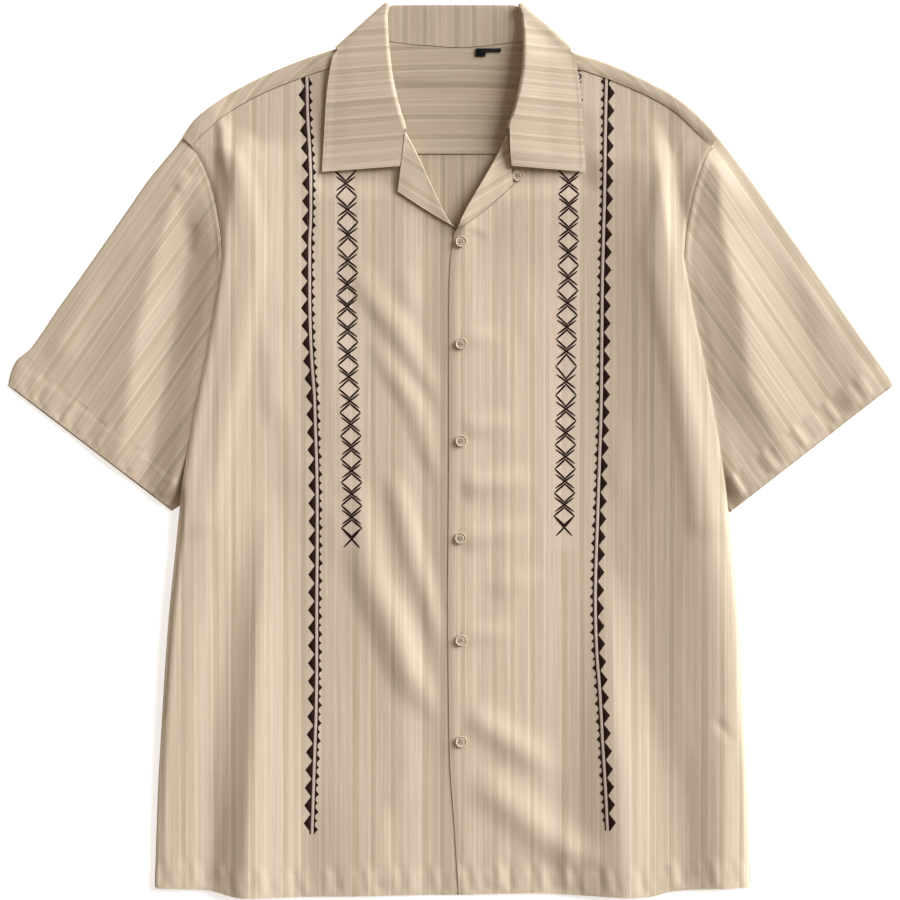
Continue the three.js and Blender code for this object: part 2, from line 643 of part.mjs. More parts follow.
function sleeve(side) {
  const away = side === 'right' ? -1 : 1;
  const points = (rows) => rows.map((row) => flat(row.x, row.y));
  const top = points(SLEEVE[side].top);
  const under = points(SLEEVE[side].under);
  const armhole = ARMHOLE_ROWS.map((y) => flat(edgeAt(BACK_EDGE, side, y) + away * 2 * GAP, y));
  const cuff = [top[top.length - 1], under[under.length - 1]];
  const borders = {
    hem: (s) => along(armhole, s),
    top: (s) => along(cuff, s),
    outer: (t) => along(top, t),
    inner: (t) => along(under, t),
  };
  const at = patch(borders);
  const count = SLEEVE_ACROSS.length;
  const place = (i, j) => {
    const t = SLEEVE_RINGS[i];
    const edge = j === 0 || j === count + 1;
    const s = edge ? Math.sign(j) : SLEEVE_ACROSS[j <= count ? j - 1 : 2 * count + 1 - j];
    const point = at(s, t);
    if (edge) {
      const inside = at(s === 0 ? 0.05 : 0.95, t);
      const out = new THREE.Vector3(point.x - inside.x, point.y - inside.y, 0).normalize();
      const middle = new THREE.Vector3(point.x, point.y, FLOOR_LAYER + LAYER / 2);
      return { middle: middle.addScaledVector(out, -CLOTH / 2), out };
    }
    const isTop = j <= count;
    const calm = smooth(0, 26, -away * (edgeAt(SIDE_EDGE, side, point.y) - point.x) - 4)
      * smooth(0, 0.12, s) * smooth(0, 0.12, 1 - s);
    const lift = Math.max(0, foldHeight(SLEEVE_FOLDS, point.x, point.y) + 1.6) * calm;
    const height = isTop ? FLOOR_LAYER + LAYER + lift : FLOOR_LAYER;
    return { middle: new THREE.Vector3(point.x, point.y, height), out: isTop ? UP : DOWN };
  };
  return wall({ rows: SLEEVE_RINGS.length - 1, columns: 2 * count + 2, place, ring: true });
}

// ---------------------------------------------------------------------------------------
// Buttons and the neck label.

const BUTTON = { radius: 5, rim: 0.7, thickness: 2.2, dish: 0.5 };
const BUTTONS = table('x y', [9.5, 186.8], [9.5, 95.0], [9.5, 7.7], [8.9, -79.7],
  [9.5, -171.5], [9.5, -262.4]);
const NECK_BUTTON = { x: 60.6, y: 246.4 };

function button() {
  const { radius, rim, thickness, dish } = BUTTON;
  const profile = [[0, 0], [radius - 0.8, 0], [radius, 0.8], [radius, thickness - 0.5],
    [radius - 0.35, thickness], [radius - rim - 0.2, thickness],
    [radius - rim - 0.9, thickness - dish], [0, thickness - dish]];
  return new THREE.LatheGeometry(profile.map(([r, z]) => flat(r, z)), 20).rotateX(Math.PI / 2);
}

// The highest place of the front under a button.
function seat(x, y, margin = 1) {
  let top = 0;
  const reach = BUTTON.radius + margin;
  for (let k = 0; k < 8; k += 1) {
    const angle = k * Math.PI / 4;
    const height = frontHeight('left', x + reach * Math.cos(angle), y + reach * Math.sin(angle));
    top = Math.max(top, height);
  }
  return top + CLOTH / 2 + GAP;
}

// A short tab that goes on as a narrow strip along the neck seam.
const LABEL = { top: 361, left: 22.6, tab: 9, right: 45.5, tabDrop: 7.4, stripDrop: 3.4, thickness: 1 };

function label() {
  const { top, left, tab, right, tabDrop, stripDrop, thickness } = LABEL;
  const corners = [[left, top], [left, top - tabDrop], [left + tab, top - tabDrop],
    [left + tab, top - stripDrop], [right, top - stripDrop], [right, top]];
  const shape = new THREE.Shape(corners.map(([x, y]) => flat(x, y)));
  const geometry = new THREE.ExtrudeGeometry(shape, { depth: thickness, bevelEnabled: false });
  return geometry.translate(0, 0, CLOTH + LAYER + GAP);
}

// ---------------------------------------------------------------------------------------
// The shirt.

const cloth = new THREE.MeshStandardMaterial({ color: 0xcdb898, roughness: 0.9, metalness: 0 });
const plastic = new THREE.MeshStandardMaterial({ color: 0xd8c6a6, roughness: 0.45, metalness: 0 });
const woven = new THREE.MeshStandardMaterial({ color: 0x16130f, roughness: 0.85, metalness: 0 });

const shirt = new THREE.Group();

function add(name, geometry, material) {
  const mesh = new THREE.Mesh(geometry, material);
  mesh.name = name;
  shirt.add(mesh);
  return mesh;
}

add('back_panel', back(), cloth);
add('yoke', yoke(), cloth);
for (const side of ['right', 'left']) {
  add(`front_${side}`, front(side), cloth);
  add(`lapel_${side}`, lapel(side), cloth);
  add(`sleeve_${side}`, sleeve(side), cloth);
}
add('collar', collar(), cloth);
add('neck_label', label(), woven);
BUTTONS.forEach(({ x, y }, k) => {
  add(`button_${k + 1}`, button(), plastic).position.set(x, y, seat(x, y));
});
add('button_neck', button(), plastic).position.set(
  NECK_BUTTON.x,
  NECK_BUTTON.y,
  seat(NECK_BUTTON.x, NECK_BUTTON.y, 6),
);

export default shirt;
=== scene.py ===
# A short-sleeved camp collar shirt, buttoned and laid face up on a flat surface.
# +X is the wearer's left, +Y runs from the hem to the collar, +Z is up. Meshes are in metres.
# Cutting sizes and places are in millimetres, and each lattice is scaled once, as it is made.
import math

import bmesh
import bpy
import numpy as np
from mathutils import Matrix, Vector


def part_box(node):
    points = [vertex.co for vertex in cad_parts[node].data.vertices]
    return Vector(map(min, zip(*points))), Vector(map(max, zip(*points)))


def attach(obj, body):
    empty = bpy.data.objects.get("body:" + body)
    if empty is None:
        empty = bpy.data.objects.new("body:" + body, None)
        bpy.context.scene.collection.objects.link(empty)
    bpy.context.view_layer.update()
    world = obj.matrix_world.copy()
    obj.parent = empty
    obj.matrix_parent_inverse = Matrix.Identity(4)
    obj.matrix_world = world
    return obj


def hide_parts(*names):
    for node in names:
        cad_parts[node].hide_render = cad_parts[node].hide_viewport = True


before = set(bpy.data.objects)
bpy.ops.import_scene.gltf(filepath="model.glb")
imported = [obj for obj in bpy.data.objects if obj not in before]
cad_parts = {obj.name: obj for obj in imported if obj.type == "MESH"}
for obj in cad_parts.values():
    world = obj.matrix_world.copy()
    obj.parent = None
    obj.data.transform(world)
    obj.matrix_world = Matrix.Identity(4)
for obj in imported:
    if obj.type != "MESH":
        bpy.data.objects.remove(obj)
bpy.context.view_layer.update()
bpy.ops.object.select_all(action="DESELECT")

# ---------------------------------------------------------------------------------------
# The cloth. A light yarn-dyed weave of cotton and linen with fine cream lines between
# bands of sand and tan. The stripe runs along the V direction of each piece's own map.

MM = 0.001
CREAM, IVORY, SAND, TAN, CLAY = "cream", "ivory", "sand", "tan", "clay"
YARNS = {
    CREAM: (0.655, 0.540, 0.405),
    IVORY: (0.615, 0.500, 0.370),
    SAND: (0.573, 0.460, 0.332),
    TAN: (0.512, 0.412, 0.287),
    CLAY: (0.598, 0.476, 0.353),
}
# One repeat of the stripe: width in millimetres and yarn.
STRIPE = [
    (7.1, SAND), (1.6, CREAM), (4.4, TAN), (1.2, IVORY), (6.6, SAND), (1.9, CREAM), (3.2, SAND),
    (1.3, IVORY), (8.2, CLAY), (1.5, CREAM), (5.0, TAN), (2.2, SAND), (1.2, IVORY), (5.8, SAND),
    (2.3, CREAM), (4.6, TAN), (1.1, IVORY), (3.4, SAND),
]
WIDE_BAND, SOFT_EDGE = 3.0, 0.6
STRIPE_REPEAT = sum(width for width, _ in STRIPE)
WEAVE_PITCH = 0.55
# How fine the unevenness of the yarns is, across the stripe and along it.
YARN_GRAIN, WEFT_GRAIN, BROAD_GRAIN = (620, 7), (7, 900), (60, 3)
SLUB_GRAIN, RUMPLE_GRAIN = (1500, 60), (70, 26)
PALE_GROUND = (0.66, 0.53, 0.44, 1.0)
# Painted shade: the tint that darkens the cloth inside the neck, where the collar shades it.
NECK_PAINTED_SHADE = (0.815, 0.81, 0.80, 1.0)
BACKED = (1.09, 1.09, 1.10, 1.0)     # cloth with a facing behind it looks paler


class Nodes:
    """Adds nodes to one material and links them."""

    def __init__(self, name):
        self.material = bpy.data.materials.new(name)
        self.material.use_nodes = True
        self.tree = self.material.node_tree
        self.shader = self.tree.nodes["Principled BSDF"]

    def add(self, kind, inputs=None, **settings):
        node = self.tree.nodes.new("ShaderNode" + kind)
        for key, value in settings.items():
            setattr(node, key, value)
        for key, value in (inputs or {}).items():
            self.put(node.inputs[key], value)
        return node

    def put(self, socket, value):
        if isinstance(value, bpy.types.NodeSocket):
            self.tree.links.new(value, socket)
        else:
            socket.default_value = value

    def surface(self, inputs):
        """Sets or links the shader's own inputs."""
        for key, value in inputs.items():
            self.put(self.shader.inputs[key], value)

    def math(self, operation, *values):
        node = self.add("Math", operation=operation)
        for socket, value in zip(node.inputs, values):
            self.put(socket, value)
        return node.outputs[0]

    def times(self, first, second):
        return self.math("MULTIPLY", first, second)

    def plus(self, first, second):
        return self.math("ADD", first, second)

    def mix_colour(self, share, first, second, blend_type="MIX"):
        node = self.add("Mix", data_type="RGBA", blend_type=blend_type)
        for socket, value in zip((0, 6, 7), (share, first, second)):
            self.put(node.inputs[socket], value)
        return node.outputs[2]

    def tinted(self, share, colour, tint):
        """The colour, multiplied by the tint as far as the share says."""
        return self.mix_colour(share, colour, self.mix_colour(1.0, colour, tint, "MULTIPLY"))

    def place(self):
        return self.add("TexCoord").outputs["Object"]

    def attribute(self, name):
        return self.add("Attribute", attribute_name=name).outputs["Fac"]

    def noise(self, vector, scale, detail=2.0):
        return self.add("TexNoise", {"Vector": vector, "Scale": scale, "Detail": detail}).outputs["Fac"]

    def grain(self, vector, fineness, detail=2.0):
        """Noise that is finer across the threads than along them, or the other way."""
        stretched = self.add("Mapping", {"Vector": vector, "Scale": (*fineness, 1.0)}).outputs[0]
        return self.noise(stretched, 1.0, detail)

    def bump(self, height, strength, distance, under=None):
        node = self.add("Bump", {"Height": height, "Strength": strength, "Distance": distance})
        if under is not None:
            self.put(node.inputs["Normal"], under)
        return node.outputs["Normal"]


def striped_cloth():
    cloth = Nodes("striped_cloth")
    chart = cloth.add("UVMap", uv_map="cloth").outputs["UV"]
    across, along = cloth.add("SeparateXYZ", {"Vector": chart}).outputs[:2]
    # The yarn order across the cloth.
    turn = cloth.math("FRACT", cloth.times(across, 1000 / STRIPE_REPEAT))
    ramp = cloth.add("ValToRGB", {"Fac": turn})
    start, stops = 0.0, []
    for width, yarn in STRIPE:
        near = [SOFT_EDGE, width - SOFT_EDGE] if width > WIDE_BAND else [width / 2]
        stops += [((start + inside) / STRIPE_REPEAT, yarn) for inside in near]
        start += width
    elements = ramp.color_ramp.elements
    for k, (position, yarn) in enumerate(stops):
        stop = elements[k] if k < 2 else elements.new(position)
        stop.position = position
        stop.color = (*YARNS[yarn], 1.0)
    # Each yarn takes the dye a little differently, and is thicker in places.
    yarn_shade = cloth.grain(chart, YARN_GRAIN, 3.0)
    weft_shade, broad_shade = cloth.grain(chart, WEFT_GRAIN), cloth.grain(chart, BROAD_GRAIN, 1.0)
    shade = cloth.plus(cloth.times(yarn_shade, 0.46), cloth.times(weft_shade, 0.05))
    shade = cloth.plus(cloth.plus(shade, cloth.times(broad_shade, 0.20)), 0.645)
    colour = cloth.mix_colour(1.0, ramp.outputs["Color"], shade, "MULTIPLY")
    colour = cloth.mix_colour(cloth.times(cloth.attribute("ground"), 0.42), colour, PALE_GROUND)
    colour = cloth.tinted(cloth.attribute("backed"), colour, BACKED)
    # Painted shade: inside the neck, under the collar, the cloth is darkened by this tint.
    colour = cloth.tinted(cloth.attribute("inside"), colour, NECK_PAINTED_SHADE)
    # Plain weave: threads over and under each other.
    turns = 2000 * math.pi / WEAVE_PITCH
    warp, weft = (cloth.math("SINE", cloth.times(place, turns)) for place in (across, along))
    weave = cloth.times(cloth.times(warp, weft), 0.1)
    height = cloth.plus(weave, cloth.times(cloth.grain(chart, SLUB_GRAIN), 0.8))
    height = cloth.plus(height, cloth.times(yarn_shade, 0.5))
    rumpled = cloth.bump(cloth.grain(chart, RUMPLE_GRAIN, 3.0), 0.30, 0.0012)
    cloth.surface({
        "Base Color": colour, "Normal": cloth.bump(height, 0.35, 0.00025, rumpled),
        "Roughness": 0.86, "Specular IOR Level": 0.25, "Sheen Weight": 0.12, "Sheen Roughness": 0.45})
    return cloth.material


CLOTH_LOOK = striped_cloth()
THICKNESS = 0.7
GAP = 0.3
LAYER = 1.5                 # from the middle of one layer to the middle of the next
FLOOR_LAYER = 0.6
CENTRE_X = 3.0              # middle of the collar and of the body


def smooth(low, high, value):
    t = np.clip((value - low) / (high - low), 0, 1)
    return t * t * (3 - 2 * t)


def spline(xs, ys, at):
    """A smooth line through the points of a short table, which never swings past them."""
    xs, ys, at = (np.asarray(values, float) for values in (xs, ys, at))
    steps = np.diff(xs)
    slopes = np.diff(ys) / steps
    same_way = slopes[:-1] * slopes[1:] > 0
    safe = np.where(same_way, slopes[:-1] + slopes[1:], 1)
    inner = np.where(same_way, 2 * slopes[:-1] * slopes[1:] / safe, 0)
    tangents = np.concatenate([slopes[:1], inner, slopes[-1:]])
    at = np.clip(at, xs[0], xs[-1])
    k = np.clip(np.searchsorted(xs, at) - 1, 0, len(steps) - 1)
    t = (at - xs[k]) / steps[k]
    return (
        (2 * t**3 - 3 * t**2 + 1) * ys[k]
        + (t**3 - 2 * t**2 + t) * steps[k] * tangents[k]
        + (3 * t**2 - 2 * t**3) * ys[k + 1]
        + (t**3 - t**2) * steps[k] * tangents[k + 1]
    )


def spline_rows(rows, at):
    """Every column of a table, at places counted in rows."""
    rows = np.asarray(rows, float)
    return np.stack([spline(np.arange(len(rows)), column, at) for column in rows.T], axis=-1)


def run_length(points, axis=0):
    """How far along each point lies on a chain of points, or on each chain of a lattice."""
    steps = np.linalg.norm(np.diff(points, axis=axis), axis=-1)
    return np.cumsum(np.insert(steps, 0, 0, axis=axis), axis=axis)


def distance(points, others):
    return np.linalg.norm(points - others, axis=-1)


def unit(vectors):
    return vectors / np.linalg.norm(vectors, axis=-1, keepdims=True)


def shares(count, *more):
    """Even shares of a length, and a few more where the form is finer."""
    return np.unique(np.concatenate([np.linspace(0, 1, count), more]))


def between(hem, top, outer, inner, s, t):
    """Lattice of points that blends four border curves. Rows run along t, columns along s."""
    s, t = s[None, :, None], t[:, None, None]
    hem, top, outer, inner = hem[None], top[None], outer[:, None], inner[:, None]
    return (
        (1 - t) * hem + t * top + (1 - s) * outer + s * inner
        - (1 - s) * (1 - t) * hem[:, :1] - s * (1 - t) * hem[:, -1:]
        - (1 - s) * t * top[:, :1] - s * t * top[:, -1:]
    )


def flat_shape(name, places, faces):
    """A mesh object from places in millimetres."""
    mesh = bpy.data.meshes.new(name)
    mesh.from_pydata((np.asarray(places) * MM).tolist(), [], [list(map(int, face)) for face in faces])
    piece = bpy.data.objects.new(name, mesh)
    bpy.context.scene.collection.objects.link(piece)
    return piece


def cell_corners(grid):
    """The values at the four corners of each cell of a grid."""
    rows, columns = grid.shape[0] - 1, grid.shape[1] - 1
    corners = [(0, 0), (0, 1), (1, 1), (1, 0)]
    return np.stack([grid[i:rows + i, j:columns + j] for i, j in corners], axis=2)


def turned_chart(middle, across):
    """Places on the flat cloth of a piece whose stripe is crossed in the given direction."""
    (ax, ay), x, y = across, middle[..., 0], middle[..., 1]
    return np.stack([x * ax + y * ay, x * ay - y * ax], -1)


def cloth_piece(name, middle, chart, ring=False, keep=None, marks=None):
    """A thin cloth shell round a lattice of points. The chart has the same shape, and holds
    where each point was on the flat cloth."""
    number = np.arange(middle[..., 0].size).reshape(middle.shape[:2])
    if ring:
        number = np.concatenate([number, number[:, :1]], axis=1)
    cells, maps = cell_corners(number).reshape(-1, 4), cell_corners(chart).reshape(-1, 4, 2)
    if keep is not None:
        cells, maps = cells[keep.ravel()], maps[keep.ravel()]
    used, faces = np.unique(cells, return_inverse=True)
    piece = flat_shape(name, middle.reshape(-1, 3)[used], faces.reshape(-1, 4))
    layer = piece.data.uv_layers.new(name="cloth")
    layer.data.foreach_set("uv", (maps * MM).ravel())
    for mark, values in (marks or {}).items():
        attribute = piece.data.attributes.new(mark, "FLOAT", "POINT")
        attribute.data.foreach_set("value", values.ravel()[used])
    wall = piece.modifiers.new("wall", "SOLIDIFY")
    wall.thickness = THICKNESS * MM
    wall.offset = 0
    finish(piece, CLOTH_LOOK, "striped_cloth", "wall")
    return piece


def mark_inside(piece, seen):
    """Marks the upper faces of a piece that lie inside the neck, which get painted shade."""
    count = len(piece.data.vertices)
    places, normals = np.empty(count * 3), np.empty(count * 3)
    piece.data.vertices.foreach_get("co", places)
    piece.data.vertex_normals.foreach_get("vector", normals)
    x, y, z = places.reshape(-1, 3).T / MM
    inside = piece.data.attributes.new("inside", "FLOAT", "POINT")
    inside.data.foreach_set("value", (seen(x, y, z) & (normals[2::3] > 0.2)).astype(float))


def finish(piece, look, slot, *modifiers, sharp=50):
    """Applies a piece's modifiers, smooths it, and gives it its material."""
    bpy.context.view_layer.objects.active = piece
    piece.select_set(True)
    for modifier in modifiers:
        bpy.ops.object.modifier_apply(modifier=modifier)
    bpy.ops.object.shade_smooth_by_angle(angle=math.radians(sharp))
    piece.select_set(False)
    piece.data.materials.clear()
    piece.data.materials.append(look)
    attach(piece, "root")


# ---------------------------------------------------------------------------------------
# The back: one panel that everything else lies on, cut straight across at the yoke seam.
# It rests on the surface, with a few shallow creases where the fronts leave it room.

# Height on the shirt, then how far out the panel reaches at the wearer's right and left.
BACK_EDGE = np.array([
    (-394, -266.0, 269.8), (-305, -263.0, 267.3), (-240, -259.3, 263.4), (-160, -254.1, 260.3),
    (-100, -248.2, 255.0), (-60, -243.4, 250.0), (-46, -238.5, 244.5), (-18, -227.5, 233.5),
    (45, -209.5, 216.0), (81, -200.5, 206.5), (120, -192.5, 198.0), (150, -191.5, 196.5),
    (182, -193.5, 198.5), (214, -198.5, 203.5), (232, -202.5, 207.5), (252, -209.5, 214.0),
    (266, -216.0, 220.0), (279, -226.0, 229.0), (287, -235.5, 235.5)])
# Share of the way from the side to the middle, then the height of the hem on each side.
HEM = np.array([
    (0.00, -394.0, -394.4), (0.16, -396.0, -395.2), (0.27, -402.0, -397.5),
    (0.36, -402.4, -402.2), (0.55, -402.0, -401.0), (0.75, -401.0, -399.0),
    (1.00, -400.6, -400.4)])
SIDES = {"right": 1, "left": 2}         # columns of the tables of edges
AWAY = {"right": -1, "left": 1}         # which way is outwards
SIDE_FOOT_Y = -394                      # the lower end of the side seams
HALF_HEM = {"right": 269.2, "left": 267.0}
YOKE_SEAM_Y = 266.4
HEM_DEPTH, HEM_STITCH = 23, 1.5         # a row of stitches runs just inside a hem's turned edge
SEAM_ROOM = 2.5                         # the panel goes on under the yoke's edge
BACK_COLUMNS, BACK_ROWS = 110, 150
BACK_HEM_STEP, HEM_BEND = 1.2, 6        # how far its hem stands back, and rows that bend to it
BACK_CREASES = [
    (-190, -395, -170, -120, 0.9, 16, 0.1, 0.5), (150, -395, 140, -150, 0.9, 18, 0.1, 0.5),
    (-60, -300, 20, -60, 0.8, 15, 0.3, 0.4), (60, -120, 110, 120, 0.8, 16, 0.3, 0.3),
    (-120, 20, -90, 180, 0.8, 14, 0.3, 0.3)]


def back_edge(side, y):
    return spline(BACK_EDGE[:, 0], BACK_EDGE[:, SIDES[side]], y)


def hem_edge(side, share):
    return spline(HEM[:, 0], HEM[:, SIDES[side]], share)


def folds_at(folds, x, y):
    """Height that ridges (and troughs, below zero) add: from, to, height, half width, fades."""
    height = np.zeros(np.broadcast(x, y).shape)
    for x0, y0, x1, y1, rise, width, fade0, fade1 in folds:
        dx, dy = x1 - x0, y1 - y0
        t = np.clip(((x - x0) * dx + (y - y0) * dy) / (dx * dx + dy * dy), 0, 1)
        away = np.hypot(x - x0 - dx * t, y - y0 - dy * t) / width
        height = height + rise * smooth(0, fade0, t) * smooth(0, fade1, 1 - t) * np.exp(-1.2 * away**2)
    return height


def back_panel():
    y = np.linspace(SIDE_FOOT_Y, YOKE_SEAM_Y + SEAM_ROOM, BACK_ROWS)
    right, left = back_edge("right", y)[:, None], back_edge("left", y)[:, None]
    x = right + (left - right) * np.linspace(0, 1, BACK_COLUMNS)
    on_right = x[0] < CENTRE_X
    share = 1 - np.abs(x[0] - CENTRE_X) / np.where(on_right, HALF_HEM["right"], HALF_HEM["left"])
    hem = np.where(on_right, hem_edge("right", share), hem_edge("left", share))
    bend = np.exp(-np.arange(BACK_ROWS) / HEM_BEND)
    y = y[:, None] + (hem + BACK_HEM_STEP - SIDE_FOOT_Y) * bend[:, None]
    calm = smooth(0, 60, x - right) * smooth(0, 60, left - x) * (1 - smooth(170, 210, y))
    z = FLOOR_LAYER - 0.2 + folds_at(BACK_CREASES, x, y) * calm
    return cloth_piece("back_cloth", np.stack([x, y, z], -1), np.stack([x, y], -1))


back = back_panel()
# Painted shade on the back panel where it shows inside the neck.
mark_inside(back, lambda x, y, z: y < YOKE_SEAM_Y)
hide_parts("back_panel")

# ---------------------------------------------------------------------------------------
# The fronts. Each is one panel from the hem to the forward shoulder seam. The left one
# laps over the right one, and both lie over the sleeve heads at the armholes.

SIDE_EDGE = np.array([
    (-394, -266.2, 270.0), (-305, -263.2, 267.5), (-240, -259.5, 263.6), (-160, -254.3, 260.5),
    (-100, -248.4, 255.2), (-48, -242.6, 249.0), (24, -230.8, 238.2), (90, -217.3, 225.3),
    (131, -210.5, 216.5), (155, -206.2, 212.4), (172, -204.0, 209.4), (188, -204.7, 210.4),
    (212, -208.5, 214.3), (232, -213.3, 218.6), (252, -220.2, 224.7), (266, -227.5, 231.0),
    (275, -236.0, 239.0)])
INNER_EDGE = {
    "right": np.array([(-402, 20.5), (172, 20.5), (186, 17.5), (194, 7.0), (203, -1.0),
                       (229, -15.2), (258, -29.0), (284, -42.4), (295, -50.5), (313, -59.5),
                       (334, -67.6), (352, -71.6)]),
    "left": np.array([(-402, 7.6), (-330, 3.1), (-279, -0.5), (-239, -1.3), (-135, -2.1),
                      (27, -1.1), (133, -1.1), (165, 0.0), (194, 3.6), (203, 9.4), (214, 15.0),
                      (235, 27.2), (258, 40.6), (281, 52.4), (295, 58.5), (313, 67.0),
                      (334, 76.0), (352, 81.0)]),
}
# The fold along the top of each shoulder, and the forward seam where the yoke ends.
SHOULDER = {
    "right": np.array([(-241.5, 281.0, -233.0, 273.5), (-231.0, 296.5, -221.5, 285.5),
                       (-208.5, 314.5, -200.0, 303.5), (-177.0, 332.5, -171.0, 320.0),
                       (-135.5, 350.5, -131.0, 336.0), (-109.5, 358.8, -106.0, 344.0),
                       (-78.0, 367.5, -73.0, 353.0)]),
    "left": np.array([(241.0, 281.0, 234.5, 272.5), (228.0, 296.5, 222.0, 285.0),
                      (207.5, 314.5, 199.5, 306.0), (176.0, 332.5, 171.0, 321.5),
                      (134.5, 350.5, 131.0, 337.5), (113.0, 356.8, 111.0, 343.5),
                      (84.0, 366.0, 80.0, 352.5)]),
}
FRONT_COLUMNS, FRONT_ROWS = 88, 236
SIDE_SHARES, HEM_SHARES = (0.002, 0.004, 0.006, 0.0085, 0.994, 0.997), (0.001, 0.0025)
SEAM_TURN, STRIP_LAP = 3.5, 0.45        # how far the cloth goes on under the seam and the strip
HEM_RISE, HEM_PUCKER = 0.28, 0.42
SIDE_DROP = 0.62                        # each side comes down to the layer that it is sewn to
EDGE_DROP = 0.72                        # the left front's free edge lies close on the right front
# Long soft ridges that run down the cloth: height on the shirt, place across, rise, and how
# far the cloth takes to come down again on the wearer's right and on the left. The broad
# ones have a narrow crest and long slopes.
BROAD_RIDGES = {
    "right": [
        np.array([(-405, -260, 6.4, 60, 46), (-300, -257, 7.6, 60, 54), (-225, -254, 9.0, 60, 62),
                  (-150, -249, 10.2, 60, 72), (-99, -243, 10.6, 60, 80), (-27, -235, 10.4, 50, 84),
                  (45, -223, 10.2, 50, 86), (108, -211, 10.4, 50, 88), (150, -204, 10.4, 44, 84),
                  (200, -199, 9.6, 34, 74), (242, -194, 7.4, 26, 60), (262, -192, 4.6, 22, 50),
                  (288, -191, 0.0, 18, 40)]),
        np.array([(-405, -184, 8.4, 42, 52), (-300, -179, 8.0, 40, 50), (-225, -176, 7.0, 36, 42),
                  (-150, -173, 5.4, 30, 38), (-80, -166, 2.4, 30, 32), (-40, -162, 0.0, 28, 28)])],
    "left": [
        np.array([(-405, 247, 4.8, 54, 44), (-300, 246, 6.2, 62, 50), (-225, 249, 7.2, 76, 54),
                  (-150, 243, 8.4, 86, 58), (-81, 235, 9.6, 96, 46), (-9, 224, 10.2, 98, 50),
                  (63, 209, 10.6, 90, 54), (135, 198.5, 10.8, 78, 54), (180, 194, 10.2, 72, 32),
                  (207, 191.5, 9.0, 70, 21), (245, 187.5, 7.0, 64, 16), (268, 186, 4.4, 54, 13),
                  (292, 186, 0.0, 46, 12)]),
        np.array([(-405, 155, 8.4, 62, 54), (-300, 151, 8.0, 60, 46), (-225, 146, 6.0, 56, 36),
                  (-170, 144, 3.6, 50, 32), (-110, 143, 0.0, 44, 30)]),
        np.array([(130, 214, 0.0, 16, 30), (172, 211, 2.4, 15, 30), (212, 216, 5.2, 17, 30),
                  (250, 224, 6.0, 26, 30), (272, 233, 3.0, 32, 30), (288, 239, 0.0, 30, 30)])],
}
CREST = 0.09                # how round a broad crest is, as a share of its slope
RIDGES = {
    "right": [
        np.array([(-246, -14, 0.0, 22, 20), (-200, -36, 3.8, 28, 22), (-150, -56, 4.2, 30, 24),
                  (-105, -74, 3.3, 26, 23), (-60, -80, 1.9, 20, 17), (-25, -84, 0.0, 18, 14)]),
        np.array([(-190, -4, 0.0, 15, 10), (-150, -14, 2.6, 18, 13), (-100, -31, 2.6, 18, 17),
                  (-50, -45, 2.2, 17, 16), (-16, -54, 0.0, 15, 15)]),
        np.array([(-36, -6, 0.0, 15, 14), (0, -19, 2.2, 17, 18), (40, -33, 2.4, 18, 20),
                  (70, -52, 1.6, 17, 20), (100, -68, 0.0, 15, 16)]),
        np.array([(34, -6, 0.0, 15, 14), (70, -25, 2.0, 18, 20), (110, -50, 2.2, 20, 24),
                  (140, -72, 1.6, 18, 22), (172, -84, 0.0, 16, 18)]),
        np.array([(16, -158, 0.0, 14, 20), (50, -159, 1.5, 16, 22), (84, -160, 1.2, 16, 22),
                  (116, -161, 0.0, 14, 18)])],
    "left": [],
}
# The left front's free edge holds both layers up along the placket, and it slopes away
# from there over the whole width of the front.
PLACKET_RIDGE = np.array([(-405, 0, 1.2, 26, 110), (-240, 0, 2.2, 28, 125), (-60, 0, 2.4, 28, 125),
                          (30, 0, 2.8, 28, 115), (100, 0, 3.0, 28, 90), (170, 0, 2.4, 24, 56),
                          (206, 0, 0.0, 18, 40)])
# Shorter folds: from, to, height (a trough below zero), half width, how soon each end fades in.
FOLDS = [
    (-118, 150, -96, -20, 1.6, 26, 0.4, 0.4), (-80, -420, -92, -230, 1.6, 26, 0.02, 0.7),
    (6, -231, 104, -296, 2.9, 15, 0.25, 0.4), (14, -287, 130, -384, 3.4, 18, 0.25, 0.35),
    (84, -352, 146, -372, 1.4, 14, 0.4, 0.4), (-20, -262, -60, -330, 1.0, 14, 0.4, 0.4),
    (-206, -300, -214, -396, -1.0, 10, 0.4, 0.1), (206, -250, 214, -396, -1.2, 12, 0.4, 0.1)]
# Narrower creases between them.
CREASES = [
    (6, 99, 52, 103, 1.5, 9, 0.15, 0.7), (6, 17, 68, 28, 1.9, 11, 0.15, 0.6),
    (6, -36, 78, -22, 2.8, 12, 0.15, 0.6), (6, -84, 82, -66, 2.1, 11, 0.15, 0.6),
    (30, -130, 86, -110, 1.4, 11, 0.4, 0.5), (6, -171, 62, -158, 1.6, 10, 0.15, 0.6),
    (236, -240, 256, -264, -1.2, 5, 0.3, 0.3), (-205, 300, -202, 226, 2.2, 5, 0.15, 0.6),
    (-178, 306, -170, 262, -0.8, 7, 0.2, 0.5), (200, 296, 203, 244, -1.8, 6, 0.2, 0.5),
    (180, 300, 178, 262, 0.8, 8, 0.2, 0.5), (-128, -395, -124, -300, -0.8, 8, 0.1, 0.5),
    (-60, -395, -64, -310, 0.8, 9, 0.1, 0.5), (-104, -40, -98, -110, 0.8, 10, 0.4, 0.4),
    (40, -395, 44, -330, 0.8, 9, 0.1, 0.5), (104, -395, 108, -320, 0.9, 10, 0.1, 0.5),
    (-146, 60, -150, -40, 0.8, 12, 0.4, 0.4), (150, 40, 154, -60, 0.8, 12, 0.4, 0.4),
    (-40, 170, -34, 120, 0.8, 9, 0.4, 0.4), (64, 170, 70, 90, 0.7, 12, 0.4, 0.4)]
COLLAR_REACH = 116
BREAK = {"right": (-1, 203), "left": (9.4, 203)}
GORGE = {"right": (-42.4, 284), "left": (52.4, 281)}
ROLL_RISE = {"right": (2.6, 3.2), "left": (6.6, 3.2)}
